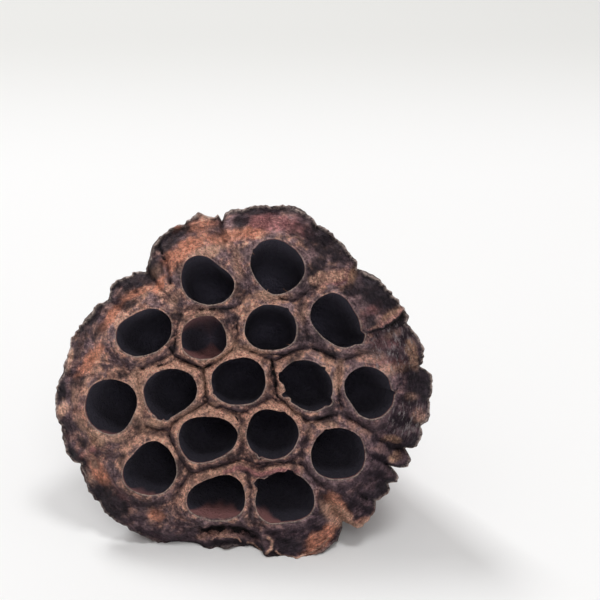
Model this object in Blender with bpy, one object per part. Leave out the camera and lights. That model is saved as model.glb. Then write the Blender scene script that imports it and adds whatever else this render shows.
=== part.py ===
"""A dried lotus pod, lying on its side with its seed face forward.

The pod grew as one piece: a flat face with a seed cell behind each mouth, a wavy brim round it, a ribbed
skin that narrows towards the back, and the stub of the stem with its shrunken knob.
It is shaped with its face up, with x to the right of the face, y up it and z out of it. Then it is laid
down on its brim and its knob. The sizes are in millimetres and degrees.
"""

import math
import random
from dataclasses import dataclass

import bmesh
import bpy
import numpy as np
from mathutils import Matrix, Vector, geometry

MM = 0.001

# The outline of the brim: its radius every 15 degrees, anticlockwise from the right of the face.
RIM_RADII = (
    45.0, 43.0, 41.5, 39.5, 41.5, 43.0, 41.5, 41.5, 40.0, 38.0, 39.0, 42.0,
    44.5, 45.5, 45.0, 46.0, 44.5, 42.0, 39.9, 44.1, 44.6, 44.0, 43.5, 44.5,
)  # fmt: skip
# How far the brim's edge stands in front of the face (+) or is turned back (-), at the same angles.
RIM_BENDS = (
    0.8, 0.2, 0.6, 0.2, -0.8, -1.8, -2.0, -1.6, -1.2, -1.6, -2.4, -2.8,
    -3.0, -3.0, -2.6, -2.0, -1.6, -1.7, -0.2, 1.6, 0.8, 1.2, 1.6, 1.4,
)  # fmt: skip
MEAN_RADIUS = sum(RIM_RADII) / len(RIM_RADII)


@dataclass(frozen=True)
class Notch:
    """A tear in the brim: where it is, how deep it cuts, and how wide it is on either side."""

    angle: float
    depth: float
    before: float
    after: float


NOTCHES = (
    Notch(5, 1.8, 2.5, 6.0),
    Notch(20, 1.4, 5.0, 2.5),
    Notch(45, 1.2, 6.0, 2.5),
    Notch(67, 0.9, 2.5, 4.0),
    Notch(98, 2.6, 3.5, 3.0),
    Notch(131, 2.2, 7.0, 3.0),
    Notch(149, 1.4, 6.0, 2.5),
    Notch(207, 1.3, 2.5, 4.0),
    Notch(305, 3.0, 5.0, 3.5),
    Notch(318, 1.5, 4.0, 3.0),
    Notch(330, 2.6, 4.0, 3.5),
    Notch(337, 1.4, 2.5, 2.5),
    Notch(346, 1.6, 4.0, 3.0),
)


@dataclass(frozen=True)
class Lobe:
    """A flap of the brim that overlaps the next one clockwise: where its free edge is, how far it
    stands up there, and how far round it takes to come down again."""

    angle: float
    lift: float
    span: float


LOBES = (Lobe(21, 1.7, 24), Lobe(277, 1.6, 20))
LOBE_EDGE = 2.0
LOBE_FROM = 0.70

# The brim begins at this share of the radius.
BRIM_FROM = 0.78


@dataclass(frozen=True)
class SeedCell:
    """One seed's cell: the middle of its mouth, the mouth's half sizes, how it is turned, and its corner."""

    x: float
    y: float
    half_length: float
    half_width: float
    turn: float
    corner: float
    corner_at: float


SEED_CELLS = (
    SeedCell(-8.9, 24.4, 6.7, 5.9, -35, 0.06, 110),
    SeedCell(7.9, 27.7, 6.6, 6.3, -50, 0.03, 130),
    SeedCell(-23.9, 11.8, 7.0, 5.2, 20, 0.02, 60),
    SeedCell(-9.6, 10.5, 5.3, 4.9, 10, 0.02, 200),
    SeedCell(6.5, 13.1, 6.2, 5.5, 0, 0.02, 90),
    SeedCell(22.8, 15.0, 7.5, 5.4, -43, 0.04, 110),
    SeedCell(-32.3, -5.8, 6.6, 6.1, 80, 0.03, 270),
    SeedCell(-17.7, -2.7, 6.4, 5.9, 25, 0.04, 255),
    SeedCell(-1.3, 0.2, 6.4, 5.5, 0, 0.02, 60),
    SeedCell(14.9, -0.7, 6.4, 5.8, -20, 0.03, 60),
    SeedCell(30.4, -2.2, 6.4, 5.8, -65, 0.03, 150),
    SeedCell(-8.9, -13.8, 7.2, 5.5, 5, 0.05, 250),
    SeedCell(6.8, -12.5, 6.1, 5.8, 0, 0.02, 130),
    SeedCell(22.6, -17.4, 6.6, 6.3, 0, 0.02, 90),
    SeedCell(-22.7, -20.9, 6.9, 6.1, 50, 0.06, 80),
    SeedCell(-6.5, -28.1, 7.2, 5.5, 10, 0.06, 185),
    SeedCell(9.7, -27.8, 7.2, 6.3, -10, 0.05, 100),
)
MOUTH_SQUARENESS = 0.02
# How the cells run: their depth, the depth where their middle lines would meet, and how much of the
# mouth's width is left at shares of the depth.
CELL_DEPTH = 17.0
CELL_MEETING_DEPTH = 78.0
CELL_TAPER = ((0.12, 1.02), (0.45, 0.99), (0.78, 0.84), (0.96, 0.48))

# The relief of the face: raised collars round the mouths, with furrows where two collars meet.
# Both are lower in a narrow wall, and flat in the narrowest.
DOME_HEIGHT = 1.2
COLLAR_HEIGHT = 1.0
COLLAR_WIDTH = 3.2
COLLAR_LEAN = 0.8
LIP_HEIGHT = 0.3
FURROW_DEPTH = 0.9
FURROW_WIDTH = 1.6
FURROWS_END = (2.0, 4.5)
FLAT_HALF_WALL = 0.4
FULL_HALF_WALL = 2.2

# The skin from the brim to the neck: height behind the face, and radius as a share of the brim's.
SKIN_PROFILE = (
    (-1.7, 0.975), (-3.6, 0.945), (-7.0, 0.905), (-12.0, 0.85), (-18.0, 0.775), (-25.0, 0.675),
    (-33.0, 0.565), (-42.0, 0.46), (-50.0, 0.378), (-57.0, 0.312), (-62.0, 0.25), (-65.3, 0.185),
)  # fmt: skip
# The neck and the knob of the stem: height behind the face, and radius.
STEM_PROFILE = (
    (-66.6, 6.1), (-68.6, 5.2), (-72.5, 4.6), (-76.0, 4.7), (-78.0, 5.6), (-80.6, 6.2), (-83.2, 5.7),
    (-85.2, 4.0), (-86.2, 1.9),
)  # fmt: skip
STEM_TIP = -86.6
# The stem leans away from the middle line of the face by this much at its tip.
STEM_LEAN = (-2.0, -0.2)

# Ribs of the skin: how many there are in each set, and their share of the relief.
RIB_SETS = ((13, 0.35), (21, 0.40), (34, 0.25))
RIB_HEIGHT = 0.9
RIBS_FADE = (-70.0, -55.0)
# The ribs' ends crinkle the brim, and the brim's outline and bend fade out down the skin.
CRINKLE_HEIGHT = 1.1
OUTLINE_FADE = 16.0
BEND_FADE = 5.0
STEM_GROOVES = 9
STEM_GROOVE_DEPTH = 0.35
STEM_GROOVES_FADE = (-66.0, -70.0)

# How the pod lies: the face leans back by this much, and the spots it rests on are this flat.
FACE_TILT = math.radians(23.0)
REST_DEPTH = 0.8

# How finely the solid is divided.
RIM_STEPS = 144
SKIN_HALVED_AT = -48.0
MOUTH_STEPS = 24
COLLAR_RINGS = (0.9, 2.3)
BRIM_RINGS = (1.3, 3.4, 6.0)
FACE_SPACING = 2.8
FURROW_SPACING = 1.5
SHARP_ANGLE = math.radians(45)

random.seed(17)
RIB_PHASES = [random.uniform(0, 2 * math.pi) for _ in RIB_SETS]


def smooth(low, high, value):
    """0 at low, 1 at high, level beyond them and an even slope between them."""
    share = np.clip((value - low) / (high - low), 0, 1)
    return share * share * (3 - 2 * share)


def around(values, angle):
    """The closed smooth curve through evenly spaced values, read at an angle in radians."""
    values = np.asarray(values, float)
    place = np.mod(angle, 2 * math.pi) / (2 * math.pi) * len(values)
    first = np.floor(place).astype(int)
    t = place - first
    a, b, c, d = (values[(first + k) % len(values)] for k in (-1, 0, 1, 2))
    return b + 0.5 * t * (c - a + t * (2 * a - 5 * b + 4 * c - d + t * (3 * (b - c) + d - a)))


def degrees_from(angle, start):
    """How far an angle in radians is anticlockwise of a start in degrees, from -180 to 180."""
    return np.mod(np.degrees(angle) - start + 180, 360) - 180


def rim_radius(angle):
    """The brim's radius at an angle, with its tears."""
    radius = around(RIM_RADII, angle)
    for notch in NOTCHES:
        off = degrees_from(angle, notch.angle)
        width = np.where(off < 0, notch.before, notch.after)
        radius = radius - notch.depth * np.clip(1 - np.abs(off) / width, 0, 1) ** 1.3
    return radius


def ribs(angle):
    """The relief of the ribs that run from the brim to the neck, from about -1 to 1."""
    sets = zip(RIB_SETS, RIB_PHASES)
    return sum(share * np.cos(count * angle + phase) for (count, share), phase in sets)


def lobe_lift(angle):
    """How far the overlapping flaps lift the brim at an angle."""
    lift = 0
    for lobe in LOBES:
        off = degrees_from(angle, lobe.angle)
        rise = smooth(-LOBE_EDGE, 0, off) * smooth(lobe.span, 0, off)
        lift = lift + lobe.lift * rise
    return lift


def brim_bend(angle):
    """How far the brim's edge is out of the plane of the face, without its flaps."""
    return around(RIM_BENDS, angle) + CRINKLE_HEIGHT * ribs(angle)


def mouth_radius(cell, angle):
    """How far the mouth's edge is from its middle, at an angle."""
    along = angle - math.radians(cell.turn)
    ellipse = 1 / np.hypot(np.cos(along) / cell.half_length, np.sin(along) / cell.half_width)
    corner = cell.corner * np.cos(3 * (angle - math.radians(cell.corner_at)))
    return ellipse * (1 + corner - MOUTH_SQUARENESS * np.cos(4 * along))


def mouth_distances(x, y):
    """How far points of the face are outside each mouth, nearest mouth first."""
    all_distances = []
    for cell in SEED_CELLS:
        east, north = x - cell.x, y - cell.y
        distance = np.hypot(east, north) - mouth_radius(cell, np.arctan2(north, east))
        all_distances.append(distance)
    return np.sort(all_distances, axis=0)


def wall_relief(x, y):
    """The height of collars and furrows over the plain face."""
    nearest, second = np.maximum(mouth_distances(x, y)[:2], 0)
    half_wall = np.minimum((nearest + second) / 2, COLLAR_WIDTH)
    across = np.clip(nearest / np.maximum(half_wall, 0.1), 0, 1)
    collar = COLLAR_HEIGHT * (1 - (2 * across**COLLAR_LEAN - 1) ** 2) + LIP_HEIGHT * (1 - across)
    furrow = FURROW_DEPTH * np.exp(-(((second - nearest) / FURROW_WIDTH) ** 2))
    furrow = furrow * (1 - smooth(*FURROWS_END, nearest))
    return smooth(FLAT_HALF_WALL, FULL_HALF_WALL, half_wall) * (collar - furrow)


def face_height(x, y):
    """The height of the face at a point: its dome, collars, furrows, flaps and wavy brim."""
    angle, reach = np.arctan2(y, x), np.hypot(x, y)
    outward = reach / rim_radius(angle)
    dome = DOME_HEIGHT * (1 - outward**2)
    brim = smooth(BRIM_FROM, 1, outward) * brim_bend(angle)
    return dome + wall_relief(x, y) + brim + smooth(LOBE_FROM, 1, outward) * lobe_lift(angle)


def skin_radius(angle, height, share):
    """The skin's radius at an angle and a height: round at the neck, and like the brim near it."""
    unevenness = (rim_radius(angle) / MEAN_RADIUS - 1) * math.exp(height / OUTLINE_FADE)
    return MEAN_RADIUS * share * (1 + unevenness) + RIB_HEIGHT * smooth(*RIBS_FADE, height) * ribs(angle)


def skin_shift(angle, height):
    """How far the brim's bend, crinkles and flaps carry the skin behind it."""
    return (brim_bend(angle) + lobe_lift(angle)) * math.exp(height / BEND_FADE)


def lean(height):
    """The sideways place of the pod's middle line at a height."""
    share = (height / STEM_TIP) ** 2
    return STEM_LEAN[0] * share, STEM_LEAN[1] * share


class Shell:
    """Points and faces of one closed surface, gathered ring by ring."""

    def __init__(self):
        self.points = []
        self.faces = []

    def add(self, points):
        """Adds points and returns their numbers."""
        first = len(self.points)
        self.points.extend(points)
        return list(range(first, len(self.points)))

    def bridge(self, ring, following):
        """Joins two rings: face by face if they are alike, or two steps to one if the second has half."""
        count = len(ring)
        step = count // len(following)
        for k in range(0, count, step):
            a, b = following[k // step], following[(k // step + 1) % len(following)]
            if step == 1:
                self.faces.append((ring[k], ring[(k + 1) % count], b, a))
            else:
                self.faces.append((ring[k], ring[k + 1], a))
                self.faces.append((ring[k + 1], b, a))
                self.faces.append((ring[k + 1], ring[(k + 2) % count], b))

    def close(self, ring, tip):
        """Closes a ring with a fan of triangles to one point."""
        middle = self.add([tip])[0]
        for k, point in enumerate(ring):
            self.faces.append((point, ring[(k + 1) % len(ring)], middle))


def circle(steps):
    """Evenly spaced angles, once round."""
    return np.arange(steps) * 2 * math.pi / steps


def flat_points(x, y):
    """Points in the plane of the face."""
    return [Vector(point) for point in zip(x, y)]


def ring_round(cell, offset):
    """Where a ring this far outside a mouth's edge runs."""
    angles = circle(MOUTH_STEPS)
    reach = mouth_radius(cell, angles) + offset
    return cell.x + reach * np.cos(angles), cell.y + reach * np.sin(angles)


def collar_points():
    """Points on rings round the mouths, where a ring is nearer to its own mouth than to the others."""
    kept = []
    for offset in COLLAR_RINGS:
        for cell in SEED_CELLS:
            x, y = ring_round(cell, offset)
            nearest, second = mouth_distances(x, y)[:2]
            inside = rim_radius(np.arctan2(y, x)) - np.hypot(x, y)
            own = (second > offset + 0.7) & (nearest > offset - 0.3) & (inside > BRIM_RINGS[0])
            kept += flat_points(x[own], y[own])
    return kept


def brim_points():
    """Points on rings inside the brim's edge, clear of the collars."""
    kept = []
    for k, inset in enumerate(BRIM_RINGS):
        angles = circle(RIM_STEPS // (k + 1))
        reach = rim_radius(angles) - inset
        x, y = reach * np.cos(angles), reach * np.sin(angles)
        clear = mouth_distances(x, y)[0] > COLLAR_RINGS[-1] + 0.8
        kept += flat_points(x[clear], y[clear])
    return kept


def furrow_points():
    """Points where two mouths are equally near, found by walking outward from each mouth."""
    kept = []
    for cell in SEED_CELLS:
        for angle in circle(MOUTH_STEPS):
            reach = mouth_radius(cell, angle) + np.linspace(0.3, COLLAR_WIDTH, 60)
            x, y = cell.x + reach * math.cos(angle), cell.y + reach * math.sin(angle)
            nearest, second = mouth_distances(x, y)[:2]
            met = np.argmin(second - nearest)
            if second[met] - nearest[met] > 0.2:
                continue
            point = Vector((x[met], y[met]))
            if all((point - other).length > FURROW_SPACING for other in kept):
                kept.append(point)
    return kept


def filling_points(furrows):
    """Evenly spread points of the face, clear of the rings round the mouths and inside the brim."""
    kept = []
    reach = max(RIM_RADII)
    rows = np.arange(-reach, reach, FACE_SPACING * math.sqrt(3) / 2)
    for row, y in enumerate(rows):
        for x in np.arange(-reach, reach, FACE_SPACING) + (row % 2) * FACE_SPACING / 2:
            inside = rim_radius(math.atan2(y, x)) - math.hypot(x, y)
            clear = mouth_distances(x, y)[0] - COLLAR_RINGS[-1]
            if inside < BRIM_RINGS[-1] + 0.6 * FACE_SPACING or clear < 0.5 * FACE_SPACING:
                continue
            point = Vector((x, y))
            if all((point - other).length > 0.6 * FACE_SPACING for other in furrows):
                kept.append(point)
    return kept


def face_points():
    """The points of the face and its fixed loops, the brim's and then each mouth's."""
    rims = circle(RIM_STEPS)
    edge = rim_radius(rims)
    points = flat_points(edge * np.cos(rims), edge * np.sin(rims))
    loops = [list(range(RIM_STEPS))]
    for cell in SEED_CELLS:
        mouth = flat_points(*ring_round(cell, 0))
        loops.append(list(range(len(points), len(points) + MOUTH_STEPS)))
        points += mouth
    furrows = furrow_points()
    return points + collar_points() + brim_points() + furrows + filling_points(furrows), loops


def loop_contains(loop, x, y):
    """Whether places are inside a closed loop, by counting the sides that they are left of."""
    inside = np.zeros(len(x), bool)
    for here, there in zip(loop, loop[1:] + loop[:1]):
        if here.y == there.y:
            continue
        crosses = (here.y > y) != (there.y > y)
        meeting = here.x + (y - here.y) / (there.y - here.y) * (there.x - here.x)
        inside ^= crosses & (x < meeting)
    return inside


def build_face(shell):
    """Adds the face between the brim and the mouths, and returns the brim's ring and each mouth's."""
    points, loops = face_points()
    edges = [(loop[k - 1], loop[k]) for loop in loops for k in range(len(loop))]
    places, _, triangles, *_ = geometry.delaunay_2d_cdt(points, edges, [], 0, 1e-5)
    x, y = np.array(places).T
    numbers = shell.add([Vector(p) for p in zip(x, y, face_height(x, y))])
    middle = np.array(places)[np.array(triangles)].mean(axis=1).T
    rim, *mouths = [[points[k] for k in loop] for loop in loops]
    kept = loop_contains(rim, *middle)
    for mouth in mouths:
        kept &= ~loop_contains(mouth, *middle)
    for triangle, keep in zip(triangles, kept):
        if keep:
            shell.faces.append(tuple(numbers[k] for k in triangle))
    return [[numbers[k] for k in loop] for loop in loops]


def build_cell(shell, cell, mouth):
    """Adds a cell behind its mouth: rings that follow the mouth, narrow, and lean to the pod's middle."""
    middle = Vector((cell.x, cell.y))
    edge = [shell.points[number] for number in mouth]
    ring = mouth
    for share, width in CELL_TAPER:
        depth = share * CELL_DEPTH
        inward = 1 - depth / CELL_MEETING_DEPTH
        places = [(middle + (point.xy - middle) * width) * inward for point in edge]
        following = shell.add([Vector((*place, point.z - depth)) for place, point in zip(places, edge)])
        shell.bridge(ring, following)
        ring = following
    bottom = sum(point.z for point in edge) / len(edge) - CELL_DEPTH
    inward = 1 - CELL_DEPTH / CELL_MEETING_DEPTH
    shell.close(ring, Vector((*(middle * inward), bottom)))


def skin_ring(height, share, steps):
    """One ring of the skin."""
    angles = circle(steps)
    radius = skin_radius(angles, height, share)
    z = height + skin_shift(angles, height)
    east, north = lean(height)
    return [Vector(p) for p in zip(east + radius * np.cos(angles), north + radius * np.sin(angles), z)]


def stem_ring(height, radius, steps):
    """One ring of the stem, with its shallow grooves."""
    angles = circle(steps)
    groove = STEM_GROOVE_DEPTH * np.cos(STEM_GROOVES * angles) * smooth(*STEM_GROOVES_FADE, height)
    east, north = lean(height)
    x, y = east + (radius - groove) * np.cos(angles), north + (radius - groove) * np.sin(angles)
    return [Vector((a, b, height)) for a, b in zip(x, y)]


def build_skin(shell, rim):
    """Adds the skin behind the brim, with fewer steps towards the neck, then the stem and its knob."""
    ring = rim
    for height, share in SKIN_PROFILE:
        steps = RIM_STEPS if height > SKIN_HALVED_AT else RIM_STEPS // 2
        following = shell.add(skin_ring(height, share, steps))
        shell.bridge(ring, following)
        ring = following
    for height, radius in STEM_PROFILE:
        following = shell.add(stem_ring(height, radius, RIM_STEPS // 4))
        shell.bridge(ring, following)
        ring = following
    shell.close(ring, Vector((*lean(STEM_TIP), STEM_TIP)))


def lay_down(mesh):
    """Lays the pod on its brim and its knob, with flat resting spots, and centres it over the origin."""
    turn = Matrix.Rotation(math.pi / 2 - FACE_TILT, 4, "X")
    mesh.transform(turn @ Matrix.Scale(MM, 4))
    floor = min(vertex.co.z for vertex in mesh.vertices) + REST_DEPTH * MM
    for vertex in mesh.vertices:
        vertex.co.z = max(vertex.co.z, floor)
    x = [vertex.co.x for vertex in mesh.vertices]
    y = [vertex.co.y for vertex in mesh.vertices]
    middle = Vector(((min(x) + max(x)) / 2, (min(y) + max(y)) / 2, floor))
    mesh.transform(Matrix.Translation(-middle))


def pod_material():
    """The pod's dry brown."""
    material = bpy.data.materials.new("dried_pod")
    material.use_nodes = True
    shader = material.node_tree.nodes["Principled BSDF"]
    shader.inputs["Base Color"].default_value = (0.13, 0.072, 0.062, 1)
    shader.inputs["Roughness"].default_value = 0.85
    shader.inputs["Metallic"].default_value = 0.0
    return material


def pod_mesh():
    """Makes the pod's mesh as one closed surface."""
    shell = Shell()
    rim, *mouths = build_face(shell)
    for cell, mouth in zip(SEED_CELLS, mouths):
        build_cell(shell, cell, mouth)
    build_skin(shell, rim)
    mesh = bpy.data.meshes.new("lotus_pod")
    mesh.from_pydata(shell.points, [], shell.faces)
    surface = bmesh.new()
    surface.from_mesh(mesh)
    bmesh.ops.recalc_face_normals(surface, faces=surface.faces)
    bmesh.ops.triangulate(surface, faces=surface.faces)
    surface.to_mesh(mesh)
    surface.free()
    mesh.shade_smooth()
    mesh.set_sharp_from_angle(angle=SHARP_ANGLE)
    lay_down(mesh)
    return mesh


def main():
    """Empties the scene and builds the pod in its own collection."""
    for obj in list(bpy.data.objects):
        bpy.data.objects.remove(obj, do_unlink=True)
    collection = bpy.data.collections.new("lotus_pod")
    bpy.context.scene.collection.children.link(collection)
    mesh = pod_mesh()
    mesh.materials.append(pod_material())
    collection.objects.link(bpy.data.objects.new("lotus_pod", mesh))


main()
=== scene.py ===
"""The looks of a dried lotus pod, lying on its side with its seed face forward.

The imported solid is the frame. The pod is modelled again over it as one fine closed skin: the face with
its collars, cracks and torn mouths, the seed cells, the crumpled brim and the streaked, folded cone. The
stub of the stem and the loose fibres are pieces of their own.
Shapes are worked out with the face up, x to its right, y up it and z out of it, in millimetres and degrees.
"""

import itertools
import logging
import math
from dataclasses import dataclass, field
from enum import Enum

import bmesh
import bpy
import numpy as np
from mathutils import Matrix, Vector, geometry


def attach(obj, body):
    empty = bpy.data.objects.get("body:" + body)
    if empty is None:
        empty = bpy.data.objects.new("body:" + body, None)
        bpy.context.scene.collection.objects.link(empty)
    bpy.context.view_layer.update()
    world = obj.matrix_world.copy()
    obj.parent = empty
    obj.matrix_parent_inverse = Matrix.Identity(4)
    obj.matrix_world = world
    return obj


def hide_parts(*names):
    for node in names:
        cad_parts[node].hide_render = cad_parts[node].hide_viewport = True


MM = 0.001

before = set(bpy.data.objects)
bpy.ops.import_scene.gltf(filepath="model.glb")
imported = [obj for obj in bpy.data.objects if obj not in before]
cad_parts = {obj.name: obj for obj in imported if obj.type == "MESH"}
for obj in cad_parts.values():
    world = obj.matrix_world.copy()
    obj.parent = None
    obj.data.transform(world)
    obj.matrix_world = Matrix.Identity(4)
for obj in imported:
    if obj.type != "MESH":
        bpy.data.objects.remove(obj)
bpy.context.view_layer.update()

log = logging.getLogger("lotus_pod")

Array = np.ndarray
Colour = tuple[float, float, float]


class Tint(Enum):
    """The stains and tissues that mark the pod, each with a mask of its own on the skin."""

    RUST = "rust"
    ROSE = "rose"
    OCHRE = "ochre"
    CHARCOAL = "charcoal"
    PALE = "pale"


class Mask(Enum):
    """What the fine skin remembers about each of its points, for the finish to read."""

    LIP = "lip"
    CRACK = "crack"
    VALLEY = "valley"
    BRIM = "brim"
    EDGE = "edge"
    DEPTH = "depth"
    CONE = "cone"
    RELIEF = "relief"
    WARMTH = "warmth"
    SHADE = "shade"
    SLOPE = "slope"
    GLINT = "glint"


def smooth(low: float, high: float, value: Array) -> Array:
    """Ramps evenly from one level to another.

    Args:
        low: where the ramp is 0.
        high: where the ramp is 1.
        value: the places to read it at.

    Returns:
        The ramp's values, level beyond its ends.
    """
    share = np.clip((value - low) / (high - low), 0, 1)
    return share * share * (3 - 2 * share)


def bell(distance: Array, width: float) -> Array:
    """Returns a soft hump: 1 at no distance, and almost nothing at twice the width."""
    return np.exp(-((distance / width) ** 2))


def around(values: tuple[float, ...], angle: Array) -> Array:
    """Reads the closed smooth curve through evenly spaced values.

    Args:
        values: the values, evenly spaced once round.
        angle: where to read it, in radians.

    Returns:
        The curve's value at each angle.
    """
    spaced = np.asarray(values, float)
    place = np.mod(angle, 2 * math.pi) / (2 * math.pi) * len(spaced)
    first = np.floor(place).astype(int)
    t = place - first
    a, b, c, d = (spaced[(first + k) % len(spaced)] for k in (-1, 0, 1, 2))
    return b + 0.5 * t * (c - a + t * (2 * a - 5 * b + 4 * c - d + t * (3 * (b - c) + d - a)))


def degrees_from(angle: Array, start: Array) -> Array:
    """Returns how far angles in radians are anticlockwise of a start in degrees, from -180 to 180."""
    return np.mod(np.degrees(angle) - start + 180, 360) - 180


def circle(steps: int) -> Array:
    """Returns evenly spaced angles, once round."""
    return np.arange(steps) * 2 * math.pi / steps


def flat_places(x: Array, y: Array) -> Array:
    """Returns points of the flat face, one a row."""
    return np.stack([x, y, np.zeros_like(x)], 1)


def round_places(angle: Array, radius: Array | float, height: Array | float = 0.0) -> Array:
    """Returns points round the middle line, one a row, from their angles, radii and heights."""
    return np.stack([radius * np.cos(angle), radius * np.sin(angle), height + np.zeros_like(angle)], 1)


def strengthen(masks: dict[str, Array], name: str, values: Array) -> None:
    """Raises a mask to other values wherever they are higher."""
    masks[name] = np.maximum(masks[name], values)


class Grain:
    """Smooth random relief in space, the same in every run."""

    def __init__(self, seed: int) -> None:
        """Draws the slopes that the relief is made from.

        Args:
            seed: the number that the draws start from.
        """
        draws = np.random.default_rng(seed)
        slopes = draws.normal(size=(256, 3))
        self.slopes = slopes / np.linalg.norm(slopes, axis=1, keepdims=True)
        self.order = np.tile(draws.permutation(256), 2)

    def at(self, places: Array, size: float) -> Array:
        """Reads the relief.

        Args:
            places: the points, one a row.
            size: how wide a lump is.

        Returns:
            The relief at each point, from about -1 to 1.
        """
        scaled = places / size
        corner = np.floor(scaled).astype(int)
        inside = scaled - corner
        fade = inside**3 * (inside * (inside * 6 - 15) + 10)
        total = np.zeros(len(places))
        for step in itertools.product((0, 1), repeat=3):
            x, y, z = ((corner + step) & 255).T
            slope = self.slopes[self.order[self.order[self.order[x] + y] + z]]
            weight = np.prod(np.where(step, fade, 1 - fade), axis=1)
            total += weight * ((inside - step) * slope).sum(axis=1)
        return 1.7 * total

    def layered(self, places: Array, size: float, layers: int) -> Array:
        """Adds finer and finer relief.

        Args:
            places: the points, one a row.
            size: how wide the widest lumps are.
            layers: how many sizes there are, each half of the one before.

        Returns:
            The relief at each point, from about -1 to 1.
        """
        return sum(self.at(places + 31 * k, size / 2**k) / 2**k for k in range(layers)) / 1.6

    def creased(self, places: Array, size: float) -> Array:
        """Returns relief with sharp ridges: 1 on a ridge's crest, down to about -1 between the ridges."""
        return 1 - 2.6 * np.abs(self.at(places, size))


@dataclass(frozen=True)
class Notch:
    """A tear in the brim: where it is, how deep it cuts, and how wide it is on either side."""

    angle: float
    depth: float
    before: float
    after: float


@dataclass(frozen=True)
class Swell:
    """A bulge of the brim, or a dent where the height is negative: its place, height and half width."""

    angle: float
    height: float
    spread: float


@dataclass(frozen=True)
class Lobe:
    """A flap of the brim that overlaps the next one clockwise.

    Its free edge is at an angle, and curves away on either side of a place 35 mm out. It stands up there
    over a gap painted dark as its shadow, and takes so far round to come down again. It starts at a share
    of the brim's radius, and its hem can be pale.
    """

    angle: float
    lift: float
    span: float
    curve: float
    gap: float
    hem: float
    start: float


@dataclass(frozen=True)
class SeedCell:
    """One seed's cell: its mouth's middle, half sizes, turn and corner, and how deep it is."""

    x: float
    y: float
    half_length: float
    half_width: float
    turn: float
    corner: float
    corner_at: float
    depth: float = 17.0


@dataclass(frozen=True)
class Nick:
    """A chip out of a mouth's edge, or a torn flake that stands into it where the depth is negative."""

    cell: int
    angle: float
    depth: float
    before: float
    after: float


@dataclass(frozen=True)
class LitRedWall:
    """A part of a cell's wall painted reddish where light from above falls on it: its direction, how much
    of the mouth it fills, how red it is.
    """

    cell: int
    angle: float
    rise: float
    strength: float = 1.0


@dataclass(frozen=True)
class Fold:
    """A crack or ridge of the face: its path, height, width, tint if it isn't dark, and how dark the
    painted shade along it is.
    """

    path: tuple[tuple[float, float], ...]
    height: float
    width: float
    tint: Tint | None = None
    dark: float = 0.85


@dataclass(frozen=True)
class Stain:
    """A stain on the face: its middle, its half sizes, how it is turned, and its strength."""

    x: float
    y: float
    half_length: float
    half_width: float
    turn: float
    strength: float = 1.0


RIM_RADII = (
    45.0, 43.0, 41.5, 39.5, 41.5, 43.0, 41.5, 41.5, 40.0, 38.0, 39.0, 42.0,
    44.5, 45.5, 45.0, 46.0, 44.5, 42.0, 39.9, 44.1, 44.6, 44.0, 43.5, 44.5,
)  # fmt: skip
RIM_BENDS = (
    0.8, 0.2, 0.6, 0.2, -0.8, -1.8, -2.0, -1.6, -1.2, -1.6, -2.4, -2.8,
    -3.0, -3.0, -2.6, -2.0, -1.6, -1.7, -0.2, 1.6, 0.8, 1.2, 1.6, 1.4,
)  # fmt: skip

NOTCHES = (
    Notch(5, 1.8, 2.5, 6.0),
    Notch(20, 1.4, 5.0, 2.5),
    Notch(45, 1.2, 6.0, 2.5),
    Notch(65, 1.2, 2.5, 3.0),
    Notch(98.1, 1.9, 3.5, 0.9),
    Notch(132, 2.6, 7.0, 4.0),
    Notch(149, 0.7, 5.0, 2.5),
    Notch(207, 1.3, 2.5, 4.0),
    Notch(305, 3.0, 5.0, 3.5),
    Notch(318, 1.6, 3.0, 2.5),
    Notch(325, 1.2, 1.5, 2.0),
    Notch(330, 2.9, 1.8, 2.5),
    Notch(337.5, 1.8, 2.0, 2.0),
    Notch(346, 1.7, 2.5, 3.0),
)

SWELLS = (
    Swell(70, 0.6, 5),
    Swell(77, 0.4, 5),
    Swell(86, 0.4, 5),
    Swell(100.5, -1.4, 4.5),
    Swell(110, -0.4, 5),
    Swell(119, 0.2, 4),
    Swell(126.5, -1.5, 4.5),
    Swell(136, -0.5, 3.5),
    Swell(144, 1.3, 6.5),
    Swell(155, 0.5, 5),
    Swell(165, 1.0, 9),
    Swell(186, 1.3, 9),
    Swell(191, 0.4, 5),
    Swell(202, 1.8, 12),
    Swell(219, 1.1, 13),
    Swell(248, 0.8, 16),
    Swell(273, 1.6, 8),
    Swell(311, 0.6, 6),
    Swell(333.5, 0.5, 3.5),
    Swell(341.5, 0.6, 4),
)

LOBES = (Lobe(22.4, 1.7, 24, 0.05, 0.9, 0.9, 0.70), Lobe(277, 1.6, 20, 0.0, 0.1, 0.0, 0.86))

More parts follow.
